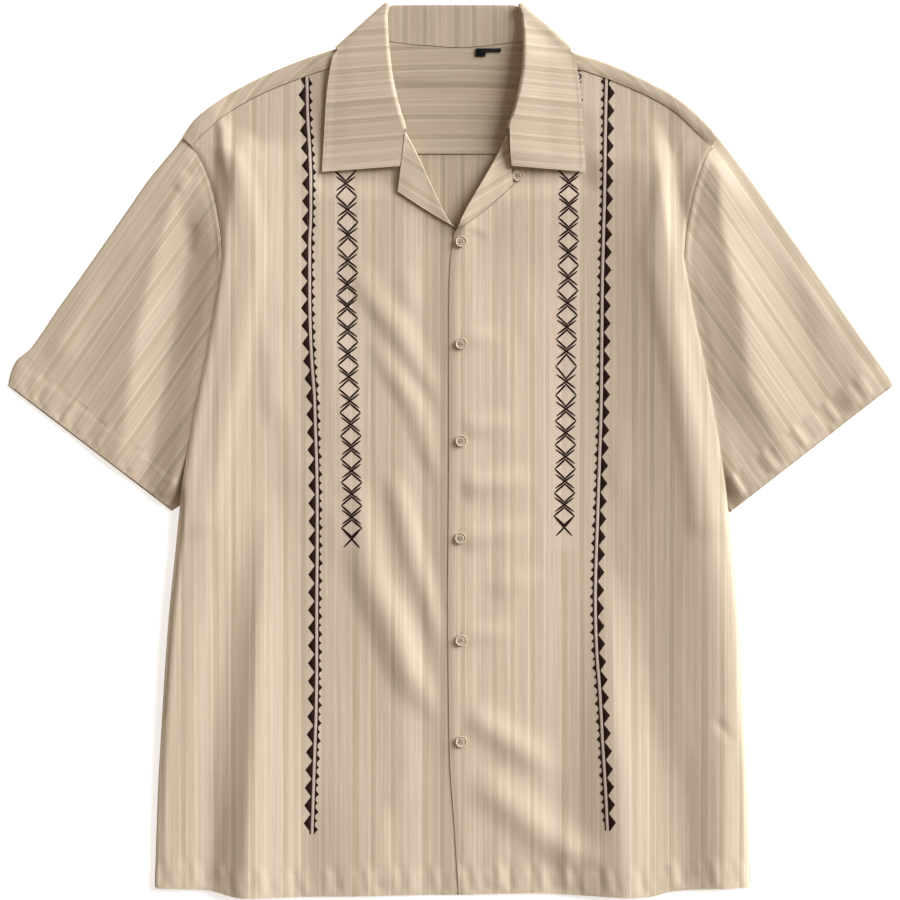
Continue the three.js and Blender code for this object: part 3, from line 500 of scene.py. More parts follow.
ROLL_REACH, BREAK_REACH = 34, 24
FALL_Y, FALL_RISE, FALL_REACH = 336, 18, 110
# Soft steps in the height of the fronts: where each starts and ends.
SLEEVE_HEAD_IN, SLEEVE_HEAD_UP = (27, 44), (-86, -62)
FALL_STEP, NECK_STEP, LAP_STEP = (288, 312), (224, 244), (30, 46)
PUFF, PUFF_IN, PUFF_UP = 2.4, (4, 36), (255, 282)


def side_edge(side, y):
    return spline(SIDE_EDGE[:, 0], SIDE_EDGE[:, SIDES[side]], y)


def inner_edge(side, y):
    return spline(INNER_EDGE[side][:, 0], INNER_EDGE[side][:, 1], y)


def fall_edge(x):
    """The outer edge of the collar's fall, behind the neck."""
    return FALL_Y + FALL_RISE * ((x - CENTRE_X) / FALL_REACH) ** 2


def roll_rise(side, x, y):
    (bx, by), (gx, gy) = BREAK[side], GORGE[side]
    dx, dy = gx - bx, gy - by
    share = ((x - bx) * dx + (y - by) * dy) / (dx * dx + dy * dy)
    t = np.clip(share, 0, 1)
    away = np.hypot(x - bx - dx * t, y - by - dy * t)
    near = np.clip(1 - away / np.where(share < 0, BREAK_REACH, ROLL_REACH), 0, 1)
    low, high = ROLL_RISE[side]
    return (low + (high - low) * t) * near**2


def ridge_at(rows, x, y, crest=None):
    """Height of a long ridge with a different fall on either side of its line. The whole
    ridge is a soft wave, or with a crest given it is steepest beside that crest."""
    line, rise, low_side, high_side = (spline(rows[:, 0], rows[:, k], y) for k in (1, 2, 3, 4))
    away = np.clip(np.where(x < line, (line - x) / low_side, (x - line) / high_side), 0, 1)
    if crest is None:
        return rise * (0.5 + 0.5 * np.cos(math.pi * away))
    return rise * (1 - (np.hypot(away, crest) - crest) / (math.hypot(1, crest) - crest)) ** 1.5


def front_height(side, x, y):
    """How far the middle of the front's cloth lies above the surface."""
    inset = np.abs(x - side_edge(side, y))
    under_collar = 1 - smooth(COLLAR_REACH, COLLAR_REACH + 18, np.abs(x - CENTRE_X))
    over_sleeve = (1 - smooth(*SLEEVE_HEAD_IN, inset)) * smooth(*SLEEVE_HEAD_UP, y)
    over_fall = under_collar * smooth(*FALL_STEP, y)
    neck = 1 - smooth(*NECK_STEP, y) * under_collar
    # Fullness and folds fade out towards the placket, and at the right front's side.
    if side == "left":
        lap, middle, edge, low = 1 - smooth(*LAP_STEP, x), smooth(26, 52, x), smooth(4, 26, x), 1
    else:
        lap, middle, edge = 0, 1 - smooth(-44, -8, x), 1 - smooth(-22, -3, x)
        low = smooth(6, 20, inset)
    puff = PUFF * smooth(*PUFF_IN, inset) * neck * middle * (1 - smooth(*PUFF_UP, y)) * low
    free = 1 - (1 - smooth(0, 4, inset)) * (1 - smooth(-62, -30, y))
    ridges = sum(ridge_at(rows, x, y) for rows in RIDGES[side])
    ridges = (ridges + sum(ridge_at(rows, x, y, CREST) for rows in BROAD_RIDGES[side])) * free
    folds = (folds_at(FOLDS, x, y) + folds_at(CREASES, x, y)) * smooth(2, 24, inset)
    raised = np.maximum(0, puff + (ridges + folds) * edge * neck)
    height = FLOOR_LAYER + LAYER * (1 + over_sleeve + over_fall + lap)
    return height + raised + ridge_at(PLACKET_RIDGE, x, y) + roll_rise(side, x, y)


def shoulder_stations(side, s):
    """The shoulder fold and the forward seam, at shares of the seam's length."""
    rows = SHOULDER[side]
    length = run_length(rows[:, 2:])
    return spline_rows(rows, np.interp(s, length / length[-1], np.arange(len(rows))))


# The crosses of the embroidered columns, from the bottom up: height and place across.
LATTICE = {
    "right": np.array([(-80.4, -88.8), (-60.8, -88.8), (-40.1, -88.8), (-19.2, -89.0), (1.7, -89.3),
                       (22.6, -89.7), (43.7, -90.5), (65.3, -91.5), (86.0, -92.3), (107.6, -92.5),
                       (128.6, -93.0), (148.2, -92.9), (169.7, -92.3), (192.9, -92.2),
                       (215.8, -92.8), (239.4, -94.2), (262, -95.0)]),
    "left": np.array([(-70.0, 102.2), (-49.6, 102.4), (-28.6, 102.9), (-6.4, 103.3), (15.0, 103.6),
                      (36.4, 103.8), (61.2, 104.0), (88.3, 104.2), (110.0, 104.6), (131.7, 105.1),
                      (154.1, 105.7), (177.0, 106.0), (197.8, 106.2), (219.4, 106.4),
                      (240.0, 106.6), (261.5, 107.6), (283.0, 108.9), (304.0, 109.8),
                      (325.0, 109.4), (346.0, 108.2)]),
}
# The middle line of the toothed band on each front, from the hem end up.
BAND = {
    "right": np.array([(-346.1, -124.5), (-305.6, -123.2), (-267.8, -121.9), (-230, -120.7),
                       (-192.2, -120.3), (-144.5, -120.3), (-89.6, -119.9), (-44.6, -119.9),
                       (-14.9, -120.3), (14.9, -121.3), (44.6, -122.1), (82.4, -124.8),
                       (119.3, -126.3), (143.6, -126.6), (185, -126.6), (212.9, -125.6),
                       (240.8, -125.6), (267.8, -126.6), (302, -128.6), (336.6, -129.3)]),
    "left": np.array([(-341.5, 140.7), (-304.7, 138.9), (-259.7, 136.2), (-215.6, 133.9),
                      (-179.6, 131.2), (-140, 130.2), (-45.5, 132.8), (44.6, 135.5),
                      (143.6, 136.4), (185, 137.3), (226.4, 138.4), (267.8, 139.1),
                      (302, 139.8), (336.0, 140.4)]),
}
GROUND_HALF, BAND_GROUND = 11.2, 8.5
FACING_REACH = (92, 126)


def column_x(table, y):
    return spline(table[:, 0], table[:, 1], y)


def turned_hem(away, depth, rise):
    """A turned hem is two layers thick, and dips along its row of stitches."""
    stitches = np.exp(-((away - depth + HEM_STITCH) / 1.3) ** 2)
    return rise * (1 - smooth(depth - HEM_STITCH, depth, away)) - 0.22 * stitches


def front_panel(side):
    s, t = shares(FRONT_COLUMNS, *SIDE_SHARES), shares(FRONT_ROWS, *HEM_SHARES)
    stations = shoulder_stations(side, s)
    fold, seam = stations[:, :2], stations[:, 2:]
    top = seam + unit(seam - fold) * SEAM_TURN
    outer_y = SIDE_FOOT_Y + (top[0, 1] - SIDE_FOOT_Y) * t
    outer = np.stack([side_edge(side, outer_y), outer_y], -1)
    hem_y = hem_edge(side, s)
    hem_x = outer[0, 0] + (INNER_EDGE[side][0, 1] - outer[0, 0]) * s
    inner_y = hem_y[-1] + (top[-1, 1] - hem_y[-1]) * t
    inner = np.stack([inner_edge(side, inner_y), inner_y], -1)
    plan = between(np.stack([hem_x, hem_y], -1), top, outer, inner, s, t)
    x, y = plan[..., 0], plan[..., 1]
    z = front_height(side, x, y) - SIDE_DROP * (1 - smooth(0, 3.5, distance(plan, plan[:, :1])))
    if side == "left":
        z -= EDGE_DROP * (1 - smooth(0, 5, distance(plan, plan[:, -1:])))
    above_hem = distance(plan, plan[:1])
    pucker = np.sin(x / 3.1) + 0.6 * np.sin(x / 1.9 + 1 + above_hem / 9) + 0.5 * np.sin(x / 6.3 + 2)
    pucker *= smooth(1, 8, above_hem) * (1 - smooth(HEM_DEPTH - 2, HEM_DEPTH + 7, above_hem))
    z += turned_hem(above_hem, HEM_DEPTH, HEM_RISE) + HEM_PUCKER * pucker
    shelf = front_height(side, seam[:, 0], seam[:, 1])
    rows = [np.column_stack([seam + (fold - seam) * share, shelf]) for share in (0.0, 0.2, STRIP_LAP)]
    middle = np.concatenate([np.dstack([x, y, z]), np.stack(rows)], axis=0)
    # Paler cloth lies round the embroidery, and beside the placket where a facing backs it.
    x, y = middle[..., 0], middle[..., 1]
    ground = 1 - smooth(GROUND_HALF - 1, GROUND_HALF + 1.5, np.abs(x - column_x(LATTICE[side], y)))
    beside = 1 - smooth(BAND_GROUND - 1, BAND_GROUND + 2, np.abs(x - column_x(BAND[side], y)))
    ground = np.maximum(ground * smooth(-92, -88, y), 0.7 * beside * smooth(-344, -340, y))
    backed = (1 - smooth(*FACING_REACH, x)) * (1 - smooth(110, 200, y)) * (side == "left")
    marks = {"ground": ground, "backed": backed}
    return cloth_piece(f"front_cloth_{side}", middle, middle[..., :2], marks=marks)


front_right = front_panel("right")
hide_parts("front_right")
front_left = front_panel("left")
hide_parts("front_left")

# ---------------------------------------------------------------------------------------
# The sleeves: short tubes pressed flat, set into the armholes under the edge of the body.
# Each cuff is a wide turned hem, and the under layer shows past the upper one.

SLEEVE = {
    "right": {
        "top": [(-236.3, 287.0), (-246, 274), (-270.4, 244.3), (-297.4, 205.7), (-324.4, 167),
                (-351.4, 129.2), (-378.4, 90.5), (-391.1, 79.3), (-396.5, 66), (-398.3, 57.1)],
        "under": [(-201.2, 81), (-210.2, 45), (-228.2, -18), (-239.4, -46), (-251.2, -55.2)],
        "across": (0.818, -0.575)},
    "left": {
        "top": [(236.3, 287.0), (246, 275), (270.4, 242.6), (295.7, 206.6), (320.9, 170.6),
                (346.1, 134.6), (371.2, 98.5), (390, 72), (396, 63), (398.3, 57.1)],
        "under": [(207.2, 81), (216.7, 45), (234.2, -18), (245.4, -46), (252.1, -56.6)],
        "across": (0.819, 0.573)},
}
ARMHOLE_Y = [287, 279, 266, 252, 232, 214, 182, 150, 120, 81]
SLEEVE_SHARES = np.concatenate([[0, 0.004, 0.01, 0.02], np.linspace(0.035, 0.965, 62),
                                [0.98, 0.99, 0.996, 1]])
SLEEVE_ROWS = 124
CUFF_DEPTH, CUFF_RISE, CUFF_PUCKER = 26, 0.25, 0.46
CUFF_STEP = 1.6             # the upper layer's cuff edge stands back
SLEEVE_RIDGES = {
    "right": np.array([(-40, -306, 0.0, 40, 26), (19, -294, 3.8, 46, 32), (97, -283, 4.8, 50, 32),
                       (153, -270, 4.2, 38, 28), (215, -252, 2.2, 22, 18), (250, -240, 0.0, 16, 12)]),
    "left": np.array([(-50, 300, 0.0, 40, 40), (9, 292, 4.0, 40, 56), (63, 269, 6.4, 38, 64),
                      (117, 262, 7.0, 40, 56), (171, 250, 6.2, 34, 42), (215, 242, 4.2, 22, 30),
                      (245, 241, 2.0, 16, 22), (262, 240, 0.0, 14, 20)]),
}
SLEEVE_REACH = {"right": 34, "left": 100}
UNDER_BODY = 0.4            # how close the sleeve lies under the body's edge
SLEEVE_FOLDS = [
    (-318, 170, -362, 66, 2.0, 18, 0.4, 0.3), (-262, 214, -330, 110, 1.4, 12, 0.4, 0.4),
    (306, 190, 352, 90, 1.6, 16, 0.4, 0.4), (384, 78, 352, 32, 1.8, 13, 0.3, 0.4),
    (-236, 250, -246, 232, 1.2, 5, 0.3, 0.3), (-230, 206, -236, 170, -1.2, 6, 0.3, 0.3)]
SEAM_BULGE = 0.7            # the armhole seam's turnings make a low roll on the sleeve


def spaced_curve(points, shares):
    """Points at shares of the length of a smooth curve."""
    fine = spline_rows(points, np.linspace(0, len(points) - 1, 400))
    length = run_length(fine)
    return np.stack([np.interp(shares, length / length[-1], fine[:, k]) for k in (0, 1)], -1)


def sleeve_plan(side, s, t):
    armhole = np.array([(back_edge(side, y) + AWAY[side] * 0.6, y) for y in ARMHOLE_Y])
    cuff = np.array([SLEEVE[side]["top"][-1], SLEEVE[side]["under"][-1]])
    cuff = cuff[0] + (cuff[1] - cuff[0]) * s[:, None]
    return between(spaced_curve(armhole, s), cuff, spaced_curve(SLEEVE[side]["top"], t),
                   spaced_curve(SLEEVE[side]["under"], t), s, t)


def sleeve_lift(side, x, y, s):
    # Beside the armhole the sleeve climbs to just under the edge of the body.
    edge = side_edge(side, y)
    out = (x - edge) * AWAY[side]
    body = front_height(side, np.where(out > 0, edge, x), y)
    room = np.maximum(0, body - FLOOR_LAYER - 2 * LAYER + UNDER_BODY)
    climb = room * (1 - np.clip(out / SLEEVE_REACH[side], 0, 1)) ** 1.25
    folds = folds_at(SLEEVE_FOLDS, x, y) + ridge_at(SLEEVE_RIDGES[side], x, y, CREST) + 1.2
    lift = climb + np.maximum(0, folds) * smooth(-2, 12, out)
    lift = np.minimum(lift, room + 0.45 * np.maximum(0, out))
    bulge = np.exp(-((out - 2.8) / 1.7) ** 2) * smooth(150, 185, y) * (1 - smooth(258, 272, y))
    lift = lift + SEAM_BULGE * bulge * (1 + 0.4 * np.sin(y / 2.1) + 0.2 * np.sin(y / 1.3))
    return lift * smooth(0, 0.1, s) * smooth(0, 0.1, 1 - s)


def sleeve_piece(side):
    s = SLEEVE_SHARES
    upper = sleeve_plan(side, s, shares(SLEEVE_ROWS, 0.995))
    cuff_away = distance(upper, upper[-1:])
    cuff = s * distance(upper[-1, -1], upper[-1, 0])
    pucker = np.sin(cuff / 2.9) + 0.7 * np.sin(cuff / 1.9 + 1.3) + 0.5 * np.sin(cuff / 5.2 + 0.6)
    pucker = pucker * smooth(2, 9, cuff_away) * (1 - smooth(22, 30, cuff_away))
    hem = turned_hem(cuff_away, CUFF_DEPTH, CUFF_RISE) + CUFF_PUCKER * pucker
    hem *= smooth(0, 0.04, s) * smooth(0, 0.04, 1 - s)
    # Half round edges along both folds of the flat tube.
    edge = np.minimum(distance(upper, upper[:, :1]), distance(upper, upper[:, -1:]))
    half = LAYER / 2
    bulge = half * np.sqrt(np.clip(1 - (1 - np.clip(edge / 0.9, 0, 1)) ** 2, 0, 1))
    lift = sleeve_lift(side, upper[..., 0], upper[..., 1], s)
    top_z = FLOOR_LAYER + half + bulge + lift + hem * smooth(0, 4, edge)
    stand_back = CUFF_STEP * (1 - smooth(0, 12, cuff_away)) * smooth(0, 6, edge)
    top_plan = upper - unit(upper[-1:] - upper[-2:-1]) * stand_back[..., None]
    low = np.dstack([upper, FLOOR_LAYER + half - bulge])[:, ::-1][:, 1:-1]
    middle = np.concatenate([np.dstack([top_plan, top_z]), low], axis=1)
    chart = turned_chart(middle, SLEEVE[side]["across"])
    chart = np.concatenate([chart, chart[:, :1]], axis=1)
    return cloth_piece(f"sleeve_cloth_{side}", middle, chart, ring=True)


sleeve_right = sleeve_piece("right")
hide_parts("sleeve_right")
sleeve_left = sleeve_piece("left")
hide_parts("sleeve_left")

# ---------------------------------------------------------------------------------------
# The yoke: a wide strip across the shoulder blades, which turns over the top of both
# shoulders and ends on the fronts in two narrow strips at the forward seams.

NECK_SEAM = np.array([(-75, 371), (-54.5, 367.2), (-34.6, 364.5), (-14.8, 363.2), (5, 361.8),
                      (24.8, 362.7), (44.6, 364.9), (64.4, 367.2), (81, 370)])
STATIONS = [0, 0.035, 0.1, 0.16, 0.23, 0.31, 0.39, 0.47, 0.55, 0.63, 0.71, 0.79, 0.86, 0.92, 0.96, 1]
NECK_COLUMNS = 7
LAST_COLUMN = 2 * len(STATIONS) + NECK_COLUMNS - 1
FIRST_TURN = 2              # the strip alone goes past the armhole seam in the first columns
FLAT_STEPS, TURN_STEPS, STRIP_STEPS = 26, 9, 6      # points up the back, round the fold, in front
SEAM_STEP = 1.1             # the seam's turnings lie under the yoke and lift its edge
ON_SLEEVE = 3.1             # past the armhole the strip's turned edge lies on the sleeve
TO_SLEEVE = (0.045, 0.075)  # where along the seam it comes down to the sleeve
FIRST_BACK = 0.06           # where along the seam the part behind the fold starts
STRIP_END_DROP, STRIP_EDGE_DROP = 1.1, 0.78


def yoke_rise(x, y):
    """The yoke lies over the collar's fall near the neck, and on the surface elsewhere."""
    near = 1 - smooth(COLLAR_REACH - 2, COLLAR_REACH + 12, np.abs(x - CENTRE_X))
    return FLOOR_LAYER + LAYER * near * smooth(fall_edge(x) - 15, fall_edge(x) - 3, y)


def yoke_column(kind, value):
    """One line of points from the back seam over the shoulder to the forward seam."""
    if kind == "neck":
        number = len(STATIONS) + value
        places = np.arange(NECK_COLUMNS)
        top = np.array([np.interp(value, places, NECK_SEAM[1:-1, 0]),
                        spline(places, NECK_SEAM[1:-1, 1], value) - GAP])
    else:
        fold, seam = shoulder_stations(kind, np.array([value]))[0].reshape(2, 2)
        near = shoulder_stations(kind, np.clip([value - 0.02, value + 0.02], 0, 1))
        run = unit(near[1, :2] - near[0, :2])
        outward = np.array([-run[1], run[0]]) * np.sign(run[0])
        strip = front_height(kind, seam[:1], seam[1:])[0] + LAYER
        strip -= STRIP_END_DROP * (1 - smooth(0.0, 0.09, value))
        low = yoke_rise(fold[0], fold[1] - 8)
        low += (ON_SLEEVE - low) * (1 - smooth(*TO_SLEEVE, value))
        radius = (strip - low) / 2
        top = fold - outward * (radius + 0.6)
        index = np.interp(value, STATIONS, np.arange(len(STATIONS)))
        number = index if kind == "right" else LAST_COLUMN - index
    share = np.clip((number - FIRST_TURN) / (LAST_COLUMN - 2 * FIRST_TURN), 0, 1)
    right, left = back_edge("right", YOKE_SEAM_Y), back_edge("left", YOKE_SEAM_Y)
    foot = np.array([right + (left - right) * share, YOKE_SEAM_Y])
    plan = foot + (top - foot) * np.linspace(0, 1, FLAT_STEPS)[:, None]
    step = SEAM_STEP * np.exp(-(plan[:, 1] - YOKE_SEAM_Y) / 5)
    points = np.column_stack([plan, yoke_rise(plan[:, 0], plan[:, 1]) - 0.1 + step])
    if kind == "neck":
        return np.concatenate([points, np.repeat(points[-1:], TURN_STEPS + STRIP_STEPS, axis=0)])
    angle = -math.pi / 2 + math.pi * np.arange(1, TURN_STEPS + 1) / TURN_STEPS
    turn = top + outward * (radius * np.cos(angle))[:, None]
    turn = np.column_stack([turn, low + radius + radius * np.sin(angle)])
    lie = np.linspace(0, 1, STRIP_STEPS + 1)[1:]
    front = top + (seam - top) * lie[:, None]
    front = np.column_stack([front, strip - STRIP_EDGE_DROP * smooth(0.55, 1.0, lie)])
    return np.concatenate([points, turn, front])


def yoke_piece():
    stations = shares(58, *TO_SLEEVE, FIRST_BACK)
    lines = [("right", value) for value in stations]
    lines += [("neck", value) for value in np.linspace(0, NECK_COLUMNS - 1, 40)]
    lines += [("left", value) for value in stations[::-1]]
    middle, kinds, has_back = [], [], []
    for kind, value in lines:
        column = yoke_column(kind, value)
        if kinds and kind != kinds[-1]:
            # A few more columns close the wide step at each side of the neck.
            step = column - middle[-1]
            middle += [middle[-1] + step * share for share in (0.25, 0.5, 0.75)]
            kinds += ["neck"] * 3
            has_back += [True] * 3
        middle.append(column)
        kinds.append(kind)
        has_back.append(kind == "neck" or value >= FIRST_BACK)
    middle = np.stack(middle, axis=1)
    rows, count = middle.shape[:2]
    keep = np.ones((rows - 1, count - 1), bool)
    for j in range(count - 1):
        if "neck" in kinds[j:j + 2]:
            keep[FLAT_STEPS - 1:, j] = False
        if not all(has_back[j:j + 2]):
            keep[:FLAT_STEPS, j] = False
    chart = np.stack([run_length(middle) + 40, middle[..., 0]], -1)
    return cloth_piece("yoke_cloth", middle, chart, keep=keep)


yoke = yoke_piece()
# Painted shade on the yoke's inner layer inside the neck.
mark_inside(yoke, lambda x, y, z: z < 2.6)
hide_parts("yoke")

# ---------------------------------------------------------------------------------------
# The lapels: the front facings turned back over the roll, from the gorge to the top button.
# Cloth bent back on itself has an under layer, a round roll and a top layer.

ROLL_STEPS = 10


def hairpin(roll, high, low, spread, rise, under, over):
    """Lattice of a strip bent back on itself: one row for each section."""
    half = rise * (spread / 2)[:, None]
    start = high - roll
    forward = -unit(start - rise * (start * rise).sum(1, keepdims=True))
    bottom, top = roll - half, roll + half
    columns = [low + (bottom - low) * share for share in np.linspace(0, 1, under)]
    for angle in np.linspace(-math.pi / 2, math.pi / 2, ROLL_STEPS + 1)[1:-1]:
        out = forward * math.cos(angle) + rise * math.sin(angle)
        columns.append(roll + out * (spread / 2)[:, None])
    columns += [top + (high - top) * share for share in np.linspace(0, 1, over)]
    return np.stack(columns, axis=1)


LAPEL = {
    "right": {"peak": (-47.4, 231.8), "tip": (4.5, 199.5), "sag": 0.8, "across": (0.535, 0.846),
              "rows": (283.7, 203.7)},
    "left": {"peak": (56.2, 239.0), "tip": (6.0, 197.5), "sag": 2.2, "across": (-0.535, 0.846),
             "rows": (281.2, 203.9)},
}
LAPEL_SECTIONS, LAPEL_UNDER, LAPEL_OVER = 46, 4, 26
LAPEL_ROOM = LAYER + 0.5
LAPEL_HOLD, LAPEL_TURN = 6, 1.2


def edge_puff(away, stitch=3.0):
    """A turned edge is thicker, and dips at its row of stitches."""
    return 0.30 * (1 - smooth(2.2, 6.5, away)) - 0.20 * np.exp(-((away - stitch) / 0.9) ** 2)


def lapel_line(side, share):
    """The lapel's free edge, at shares of the way from its peak to its tip."""
    peak, tip = np.array(LAPEL[side]["peak"]), np.array(LAPEL[side]["tip"])
    line = peak + (tip - peak) * share[:, None]
    line[:, 1] -= np.sin(math.pi * share) * LAPEL[side]["sag"]
    return line


def lapel_piece(side):
    share = np.linspace(0, 1, LAPEL_SECTIONS)
    first, last = LAPEL[side]["rows"]
    y = first + (last - first) * share
    x = inner_edge(side, y)
    high = lapel_line(side, share)
    high = np.column_stack([high, front_height(side, *high.T) + LAPEL_ROOM + 0.6])
    low = np.column_stack([x + AWAY[side] * LAPEL_HOLD, y - 2])
    under = np.maximum(front_height(side, *low.T) - LAPEL_ROOM, FLOOR_LAYER + LAYER)
    low = np.column_stack([low, under])
    roll = np.column_stack([x - AWAY[side] * LAPEL_TURN, y, front_height(side, x, y)])
    rise = np.tile([0.0, 0.0, 1.0], (len(share), 1))
    spread = np.full(len(share), 2 * LAPEL_ROOM)
    middle = hairpin(roll, high, low, spread, rise, LAPEL_UNDER, LAPEL_OVER)
    to_edge = distance(middle[..., :2], high[:, None, :2])
    to_top = distance(middle[..., :2], middle[:1, :, :2])
    on_top = np.arange(middle.shape[1]) >= LAPEL_UNDER + ROLL_STEPS - 1
    middle[..., 2] += (edge_puff(to_edge) + edge_puff(to_top) - 0.2) * on_top
    middle[..., 2] -= 0.5 * (1 - smooth(0, 9, to_edge)) * on_top
    return cloth_piece(f"lapel_cloth_{side}", middle, turned_chart(middle, LAPEL[side]["across"]))


lapel_right = lapel_piece("right")
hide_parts("lapel_right")
lapel_left = lapel_piece("left")
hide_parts("lapel_left")

# ---------------------------------------------------------------------------------------
# The collar: one piece with a low stand, a soft roll and a wide fall. It is folded flat at
# both sides of the neck, so that the fall behind lies under the yoke.

# From the front end of the leaf round to the side fold. Distances from the middle line.
COLLAR = np.array([
    # roll right, roll left, roll y, roll z, spread, edge x, edge y, edge z, neck x, y, z
    (48.4, 51.9, 254.5, 5.8, 3.0, 118.5, 249.5, 4.9, 50.0, 262.0, 5.0),
    (46.5, 50.4, 269.0, 6.2, 3.0, 117.9, 262.0, 4.9, 48.0, 276.0, 5.0),
    (44.9, 50.0, 287.5, 6.8, 3.4, 117.0, 277.0, 5.1, 49.6, 293.6, 5.2),
    (49.5, 55.2, 303.5, 7.6, 3.7, 116.1, 292.5, 5.8, 58.4, 310.4, 4.4),
    (54.4, 59.7, 322.0, 8.0, 4.0, 115.1, 309.5, 6.6, 66.2, 330.0, 3.8),
    (58.2, 63.3, 344.0, 8.0, 4.0, 113.4, 326.5, 7.4, 71.6, 350.0, 3.7),
    (60.4, 64.0, 368.0, 7.6, 3.8, 111.0, 342.0, 8.0, 77.0, 362.5, 3.7),
    (61.6, 62.6, 390.0, 7.2, 4.0, 108.4, 354.0, 8.2, 80.5, 371.5, 3.8)])
# At the side fold, for each line of the collar: place, and the heights of its two layers.
SIDE_FOLD = {
    "roll": (61.3, 400.2, 1.35, 7.0),
    "edge": (106.6, 361.6, 0.6, 8.0),
    "neck": (82.5, 374.6, 2.1, 3.8)}
BACK_ROLL_Y, BACK_ROLL_Z = 399.5, 1.35
BACK_HALF = {"roll": 58, "edge": 104, "neck": 76}       # half widths behind the neck
LEFT_ROLL_LIFT = 6.2        # the left leaf was pressed less, and its roll stands higher
LEFT_LEAF_SAG = 1.1
LEAF_SECTIONS, BACK_SECTIONS = 64, 30
FREE_SECTIONS = 18          # the leaves' free ends have no stand
UNDER, OVER = 12, 34
LEAF_STRIPE_Y, LEAF_STRIPE_X, LEAF_SLANT = 420, 37, -0.075


def back_neck(x):
    return spline(NECK_SEAM[:, 0], NECK_SEAM[:, 1], x) + GAP


def collar_half(sign):
    """Sections from the front end to the middle of the back: roll, edge, neck, spread, rise."""
    rows = spline_rows(COLLAR, np.linspace(0, len(COLLAR) - 1, LEAF_SECTIONS))
    roll = [np.column_stack([CENTRE_X + sign * rows[:, 0 if sign < 0 else 1], rows[:, 2:4]])]
    high = [np.column_stack([CENTRE_X + sign * rows[:, 5], rows[:, 6:8]])]
    low = [np.column_stack([CENTRE_X + sign * rows[:, 8], rows[:, 9:]])]
    spread, rise = [rows[:, 4]], [np.tile([0.0, 0.0, 1.0], (len(rows), 1))]
    if sign > 0:
        station = np.arange(len(rows))
        roll[0][:, 2] += LEFT_ROLL_LIFT * smooth(-10, 12, station) * (1 - smooth(48, 63, station))
    # Half a turn round the side fold.
    angle = np.radians(np.arange(0, 181, 12))
    run = unit(np.subtract(SIDE_FOLD["edge"][:2], SIDE_FOLD["roll"][:2]))
    outward = np.array([-sign * run[1], run[0]])
    for line, name in ((roll, "roll"), (high, "edge"), (low, "neck")):
        px, py, bottom, top = SIDE_FOLD[name]
        radius = (top - bottom) / 2
        plan = np.array([CENTRE_X + sign * px, py]) + outward * (radius * (np.sin(angle) - 1))[:, None]
        line.append(np.column_stack([plan, (top + bottom) / 2 + radius * np.cos(angle)]))
    spread.append(LAYER + (4.0 - LAYER) * (1 + np.cos(angle)) / 2)
    rise.append(np.column_stack([outward * np.sin(angle)[:, None], np.cos(angle)]))
    # Behind the neck.
    share = np.linspace(0.95, 0, BACK_SECTIONS)
    roll_x, edge_x, neck_x = (CENTRE_X + sign * share * BACK_HALF[name] for name in BACK_HALF)
    ones = np.ones(len(share))
    roll.append(np.column_stack([roll_x, BACK_ROLL_Y * ones, BACK_ROLL_Z * ones]))
    high.append(np.column_stack([edge_x, fall_edge(edge_x), FLOOR_LAYER * ones]))
    low.append(np.column_stack([neck_x, back_neck(neck_x), (FLOOR_LAYER + LAYER) * ones]))
    spread.append(LAYER * ones)
    rise.append(np.tile([0.0, 0.0, -1.0], (len(share), 1)))
    return [np.concatenate(parts) for parts in (roll, high, low, spread, rise)]


def collar_piece():
    right, left = collar_half(-1), collar_half(1)
    roll, high, low, spread, rise = (np.concatenate([a, b[::-1][1:]]) for a, b in zip(right, left))
    middle = hairpin(roll, high, low, spread, rise, UNDER, OVER)
    rows, columns = middle.shape[:2]
    # Both leaves are thicker along their sewn edges, and slightly crowned between them.
    first_over = UNDER + ROLL_STEPS - 1
    to_edge = distance(middle, high[:, None])
    end = np.minimum(distance(middle, middle[:1]), distance(middle, middle[-1:]))
    shape = edge_puff(to_edge, 3.0) + edge_puff(end, 6.3) + 0.5 * smooth(4, 26, to_edge) * smooth(4, 30, end)
    sag = smooth(2, 34, to_edge) * (1 - smooth(30, 62, to_edge)) * smooth(-20, 30, end)
    shape -= LEFT_LEAF_SAG * sag * (middle[..., 0] > CENTRE_X)
    on_front = (rise[:, 2] > 0.9)[:, None]
    middle[..., 2] += shape * (np.arange(columns) >= first_over) * on_front
    # The stripe runs across the leaves and down the stand behind the neck.
    x, y = middle[..., 0] - CENTRE_X, middle[..., 1]
    behind = smooth(0.2, 0.8, (1 - rise[:, 2]) / 2)[:, None]
    along = (LEAF_STRIPE_Y - y + np.abs(x) * LEAF_SLANT) * (1 - behind) + (x + LEAF_STRIPE_X) * behind
    chart = np.stack([along, run_length(middle, axis=1)], -1)
    keep = np.ones((rows - 1, columns - 1), bool)
    keep[:FREE_SECTIONS, :first_over] = False
    keep[-FREE_SECTIONS:, :first_over] = False
    return cloth_piece("collar_cloth", middle, chart, keep=keep)


collar = collar_piece()
# Painted shade on the collar's stand inside the neck.
mark_inside(collar, lambda x, y, z: (np.abs(x - CENTRE_X) < 59) & (y > 360))
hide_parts("collar")

# ---------------------------------------------------------------------------------------
# The embroidery: two bands of satin stitch down each front. The outer one is a pale line
# of chain stitch between two dark ones, with teeth outside and small bumps inside. The
# inner one is a column of diamonds, with a small cross where each two meet.

FIRST_TOOTH = {"right": 319.1, "left": 321.0}
TOOTH_PITCH, TOOTH_IN, TOOTH_OUT, TOOTH_HALF = 15.98, 2.1, 7.9, 7.9
BUMP_PITCH, BUMP_SIZES = 7.99, (4.2, 2.9)
PALE_LINE, DARK_LINE = 2.5, 1.15
LINE_STEP = 2.6
CROSS, FOOT_CROSS = (8.5, 6.3), (7.2, 7.6)          # half width and half height
DIAMOND_HALF = 9.3
STROKE = 1.8
STROKE_SHAPE = np.array([0.45, 0.95, 1, 1, 0.95, 0.45])


